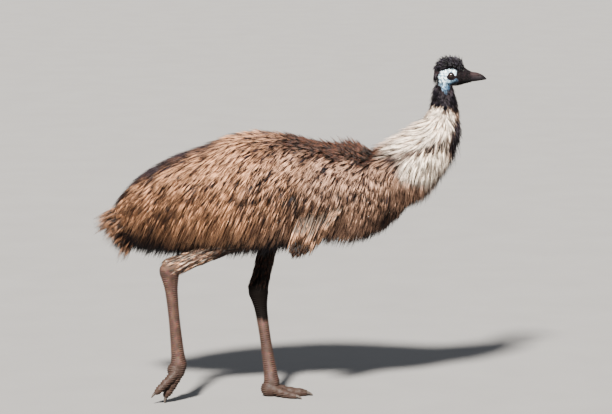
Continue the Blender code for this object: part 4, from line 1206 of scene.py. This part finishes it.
DARK = [
    (0.00, (0.004, 0.003, 0.002)), (0.66, (0.008, 0.005, 0.003)), (0.80, (0.056, 0.020, 0.010)),
    (0.92, (0.023, 0.011, 0.010)), (0.96, (0.008, 0.005, 0.007)), (1.00, (0.004, 0.003, 0.006)),
]
# What a feather's colour is multiplied by, from the darkest tone to the lightest.
TONE_LIGHT = [
    (0.00, (0.02, 0.02, 0.03)), (0.32, (0.09, 0.08, 0.09)), (0.44, (0.72, 0.70, 0.69)),
    (1.00, (1.40, 1.36, 1.32)),
]
# The bare face's colours, from its dark flecks to its pale ones.
FACE_BLUES = [
    (0.32, (0.012, 0.022, 0.034)), (0.43, (0.070, 0.125, 0.175)), (0.51, (0.230, 0.315, 0.370)),
    (0.65, (0.600, 0.680, 0.720)),
]
# How they darken down and forward, to this x and z.
FACE_FOOT = (0.620, 1.24)
FACE_LOW = [
    (0.10, (0.040, 0.055, 0.080)), (0.32, (0.160, 0.240, 0.330)), (0.52, (0.560, 0.690, 0.800)), (0.72, 1.0),
]
LEG_BROWNS = [
    (0.28, (0.010, 0.005, 0.004)), (0.52, (0.032, 0.0155, 0.0115)), (0.78, (0.072, 0.036, 0.026)),
]
SCALES = 170.0  # how fine the scales of the legs are


def coat_material():
    s = Shader("feathers")
    tone, pale = s.number("tone"), s.number("pale")
    at = s.plus(s.number("along"), s.times(s.minus(0.5, tone), 0.14), clamp=True)
    colour = s.mix(s.number("rust"), s.ramp(at, GREY_BROWN), s.ramp(at, RUST_BROWN))
    colour = s.mix(s.number("dark"), colour, s.ramp(at, DARK))
    colour = s.mix(pale, colour, s.ramp(at, CREAM))
    colour = s.mix(s.number("black"), colour, s.ramp(at, BLACK))
    light = s.mix(s.times(pale, 0.78), s.ramp(tone, TONE_LIGHT), (1.0, 0.99, 0.97, 1))
    colour = s.mix(1.0, colour, light, "MULTIPLY")
    return s.finished(colour, 0.55, {"Specular IOR Level": 0.16})


def skin_material():
    s = Shader("skin")
    coat = s.mix(s.number("rust"), (0.055, 0.040, 0.032, 1), (0.060, 0.036, 0.022, 1))
    coat = s.mix(s.number("pale"), coat, (0.300, 0.250, 0.210, 1))
    black = s.ramp(s.noise(140.0), [(0.40, (0.003, 0.002, 0.003)), (0.85, (0.011, 0.005, 0.005))])
    coat = s.mix(s.number("black"), coat, black)
    high = s.times(s.minus(s.place("Z"), FACE_FOOT[1]), 12.0)
    ahead = s.times(s.minus(s.place("X"), FACE_FOOT[0]), 9.0)
    low = s.ramp(s.minus(high, ahead), FACE_LOW)
    face = s.mix(1.0, s.ramp(s.noise(135.0, 4.0), FACE_BLUES), low, "MULTIPLY")
    bare = s.plus(s.number("face"), s.times(s.minus(s.noise(330.0, 4.0), 0.5), 1.6))
    colour = s.mix(s.ramp(bare, [(0.38, 0.0), (0.62, 1.0)]), coat, face)
    leg = s.ramp(s.noise(34.0, 4.0), LEG_BROWNS)
    leg = s.mix(0.25, leg, s.mix(1.0, leg, s.cells(SCALES, output="Color"), "OVERLAY"))
    edge = s.cells(SCALES, "DISTANCE_TO_EDGE")
    leg = s.mix(s.ramp(edge, [(0.00, 0.75), (0.12, 0.0)]), leg, (0.025, 0.016, 0.013, 1))
    band = s.math("SINE", s.times(s.number("band"), 2 * math.pi / SCUTE_PITCH))
    crease = s.times(s.ramp(band, [(0.10, 1.0), (0.48, 0.0)]), s.number("plate"))
    leg = s.mix(s.times(crease, 0.85), leg, (0.014, 0.008, 0.006, 1))
    leg = s.mix(s.times(s.number("foot"), 0.80), leg, (0.013, 0.008, 0.006, 1))
    leg_share, shade = s.number("leg"), s.number("shade")
    colour = s.mix(leg_share, colour, leg)
    # painted shade: the far leg is painted near black where the body's shadow falls, and is less glossy there
    colour = s.mix(shade, colour, (0.0018, 0.0013, 0.0011, 1))
    gloss = s.times(s.plus(s.times(leg_share, 0.02), 0.08), s.minus(1.0, s.times(shade, 0.8)))
    relief = s.times(s.plus(s.times(edge, 2.0, clamp=True), s.times(crease, -0.8)), leg_share)
    normal = s.bump(s.noise(420.0, 5.0), 0.35, 0.0008, Normal=s.bump(relief, 0.55, 0.0016))
    return s.finished(colour, 0.55, {"Specular IOR Level": gloss, "Normal": normal})


def horn_material(name, dark, light, roughness):
    s = Shader(name)
    colour = s.ramp(s.noise(160.0, 5.0), [(0.30, dark), (0.75, light)])
    if name == "bill_horn":
        # painted highlight: the top of the upper bill is painted lighter and pinker
        ridge = s.ramp(s.times(s.minus(s.place("Z"), 1.2985), 60.0), [(0.10, 0.0), (0.75, 1.0)])
        colour = s.mix(s.times(ridge, 0.26), colour, (0.030, 0.016, 0.015, 1))
        tipward = s.times(s.minus(s.place("X"), 0.735), 30.0)
        fade = s.ramp(tipward, [(0.10, 1.0), (0.90, (0.30, 0.30, 0.34))])
        colour = s.mix(1.0, colour, fade, "MULTIPLY")
        # painted shade: a dark line along the slit of the mouth
        mouth_slit_shade = s.math("ABSOLUTE", s.minus(s.place("Z"), MOUTH_Z))
        mouth_slit_shade = s.ramp(s.times(mouth_slit_shade, 170.0), [(0.25, 1.0), (0.75, 0.0)])
        colour = s.mix(mouth_slit_shade, colour, (0.006, 0.005, 0.006, 1))
    normal = s.bump(s.noise(520.0, 4.0), 0.20, 0.0006)
    return s.finished(colour, roughness, {"Specular IOR Level": 0.07, "Normal": normal})


def eye_material():
    s = Shader("eye")
    colour = s.ramp(s.number("gaze"), [
        (0.72, (0.004, 0.003, 0.003)), (0.78, (0.010, 0.005, 0.003)), (0.90, (0.018, 0.008, 0.004)),
        (0.915, (0.004, 0.003, 0.003)), (1.0, (0.002, 0.002, 0.002)),
    ])
    coat = {"Coat Weight": 0.25, "Coat Roughness": 0.02}
    return s.finished(colour, 0.10, {"Specular IOR Level": 0.30, **coat})


def floor_material():
    s = Shader("floor")
    colour = s.ramp(s.noise(3.0), [(0.3, (0.094, 0.092, 0.090)), (0.7, (0.101, 0.099, 0.097))])
    return s.finished(colour, 0.9, {})


def stage_floor():
    corners = [(x * FLOOR_REACH, y * FLOOR_REACH, 0) for x, y in ((-1, -1), (1, -1), (1, 1), (-1, 1))]
    floor = new_mesh("floor", corners, [(0, 1, 2, 3)])
    floor.data.materials.append(floor_material())


FLOOR_REACH = 45.0
CAMERA_TARGET = Vector((0.057, 0.0, 0.778))
CAMERA_DISTANCE = 12.0
CAMERA_ELEVATION = math.radians(8.0)
FRAME_WIDTH = 2.448  # what the picture spans at the bird
SENSOR = 36.0
SUN_WAY = Vector((0.20, 0.70, -0.66))  # the way its light goes


def add_camera():
    data = bpy.data.cameras.new("camera")
    camera = placed("camera", data)
    way = Vector((0, -math.cos(CAMERA_ELEVATION), math.sin(CAMERA_ELEVATION)))
    camera.location = CAMERA_TARGET + way * CAMERA_DISTANCE
    camera.rotation_euler = (-way).to_track_quat("-Z", "Y").to_euler()
    data.sensor_width = SENSOR
    data.lens = SENSOR * CAMERA_DISTANCE / FRAME_WIDTH
    data.clip_end = 60.0
    bpy.context.scene.camera = camera


def add_lights():
    world = bpy.data.worlds.new("studio")
    bpy.context.scene.world = world
    world.use_nodes = True
    sky = world.node_tree.nodes["Background"].inputs
    sky["Color"].default_value = (0.86, 0.91, 1.0, 1)
    sky["Strength"].default_value = 0.62
    sun = bpy.data.lights.new("sun", "SUN")
    sun.energy = 40.0
    sun.angle = math.radians(7)
    sun.color = (1.0, 0.95, 0.88)
    placed("sun", sun).rotation_euler = SUN_WAY.to_track_quat("-Z", "Y").to_euler()


def dress(obj, material, slot, *nodes):
    """Gives a piece its material, hangs it under the root and hides the CAD nodes that it stands for. The
    slot is not used.
    """
    obj.data.materials.clear()
    obj.data.materials.append(material)
    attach(obj, "root")
    if nodes:
        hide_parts(*nodes)


def main():
    rng = np.random.default_rng(SEED)
    feathers = coat_material()
    limbs = [f"{part}_{side}" for part in ("shank", "tarsus", "foot") for side in SIDES]
    dress(make_skin(), skin_material(), "face_skin",
          "tail", "rump", "breast", "lower_neck", "upper_neck", "head", *limbs)
    for *piece, slot in COAT_PIECES:
        dress(trunk_coat(rng, *piece), feathers, slot)
    for ridge in RIDGES:
        dress(ridge_coat(rng, *ridge), feathers, "breast_feathers")
    for hair in HEAD_HAIR:
        dress(head_coat(rng, *hair), feathers, "upper_neck_feathers")
    dress(quilled_coat(rng, "coat_tail_end", "coat_tail_end"), feathers, "tail_feathers")
    horn = horn_material("bill_horn", (0.002, 0.0015, 0.002), (0.008, 0.006, 0.007), 0.52)
    nail = horn_material("claw_horn", (0.012, 0.010, 0.009), (0.050, 0.040, 0.034), 0.45)
    upper, lower = bill_halves()
    dress(upper, horn, "bill_horn", "upper_bill")
    dress(lower, horn, "bill_horn", "lower_bill")
    glossy = eye_material()
    for name, side in SIDES.items():
        wing = quilled_coat(rng, "wing_coat", f"wing_coat_{name}", side)
        dress(wing, feathers, "wing_feathers", f"wing_{name}")
        dress(quilled_coat(rng, "wing_tip", f"wing_tip_{name}", side), feathers, "wing_feathers")
        dress(shank_coat(rng, name), feathers, "shank_feathers")
        dress(eyeball(f"eyeball_{name}", side), glossy, "eyes", f"eye_{name}")
        for toe in TOE_REACH:
            dress(claw(name, toe), nail, "claws", f"claw_{toe}_{name}")
    stage_floor()
    add_camera()
    add_lights()


main()
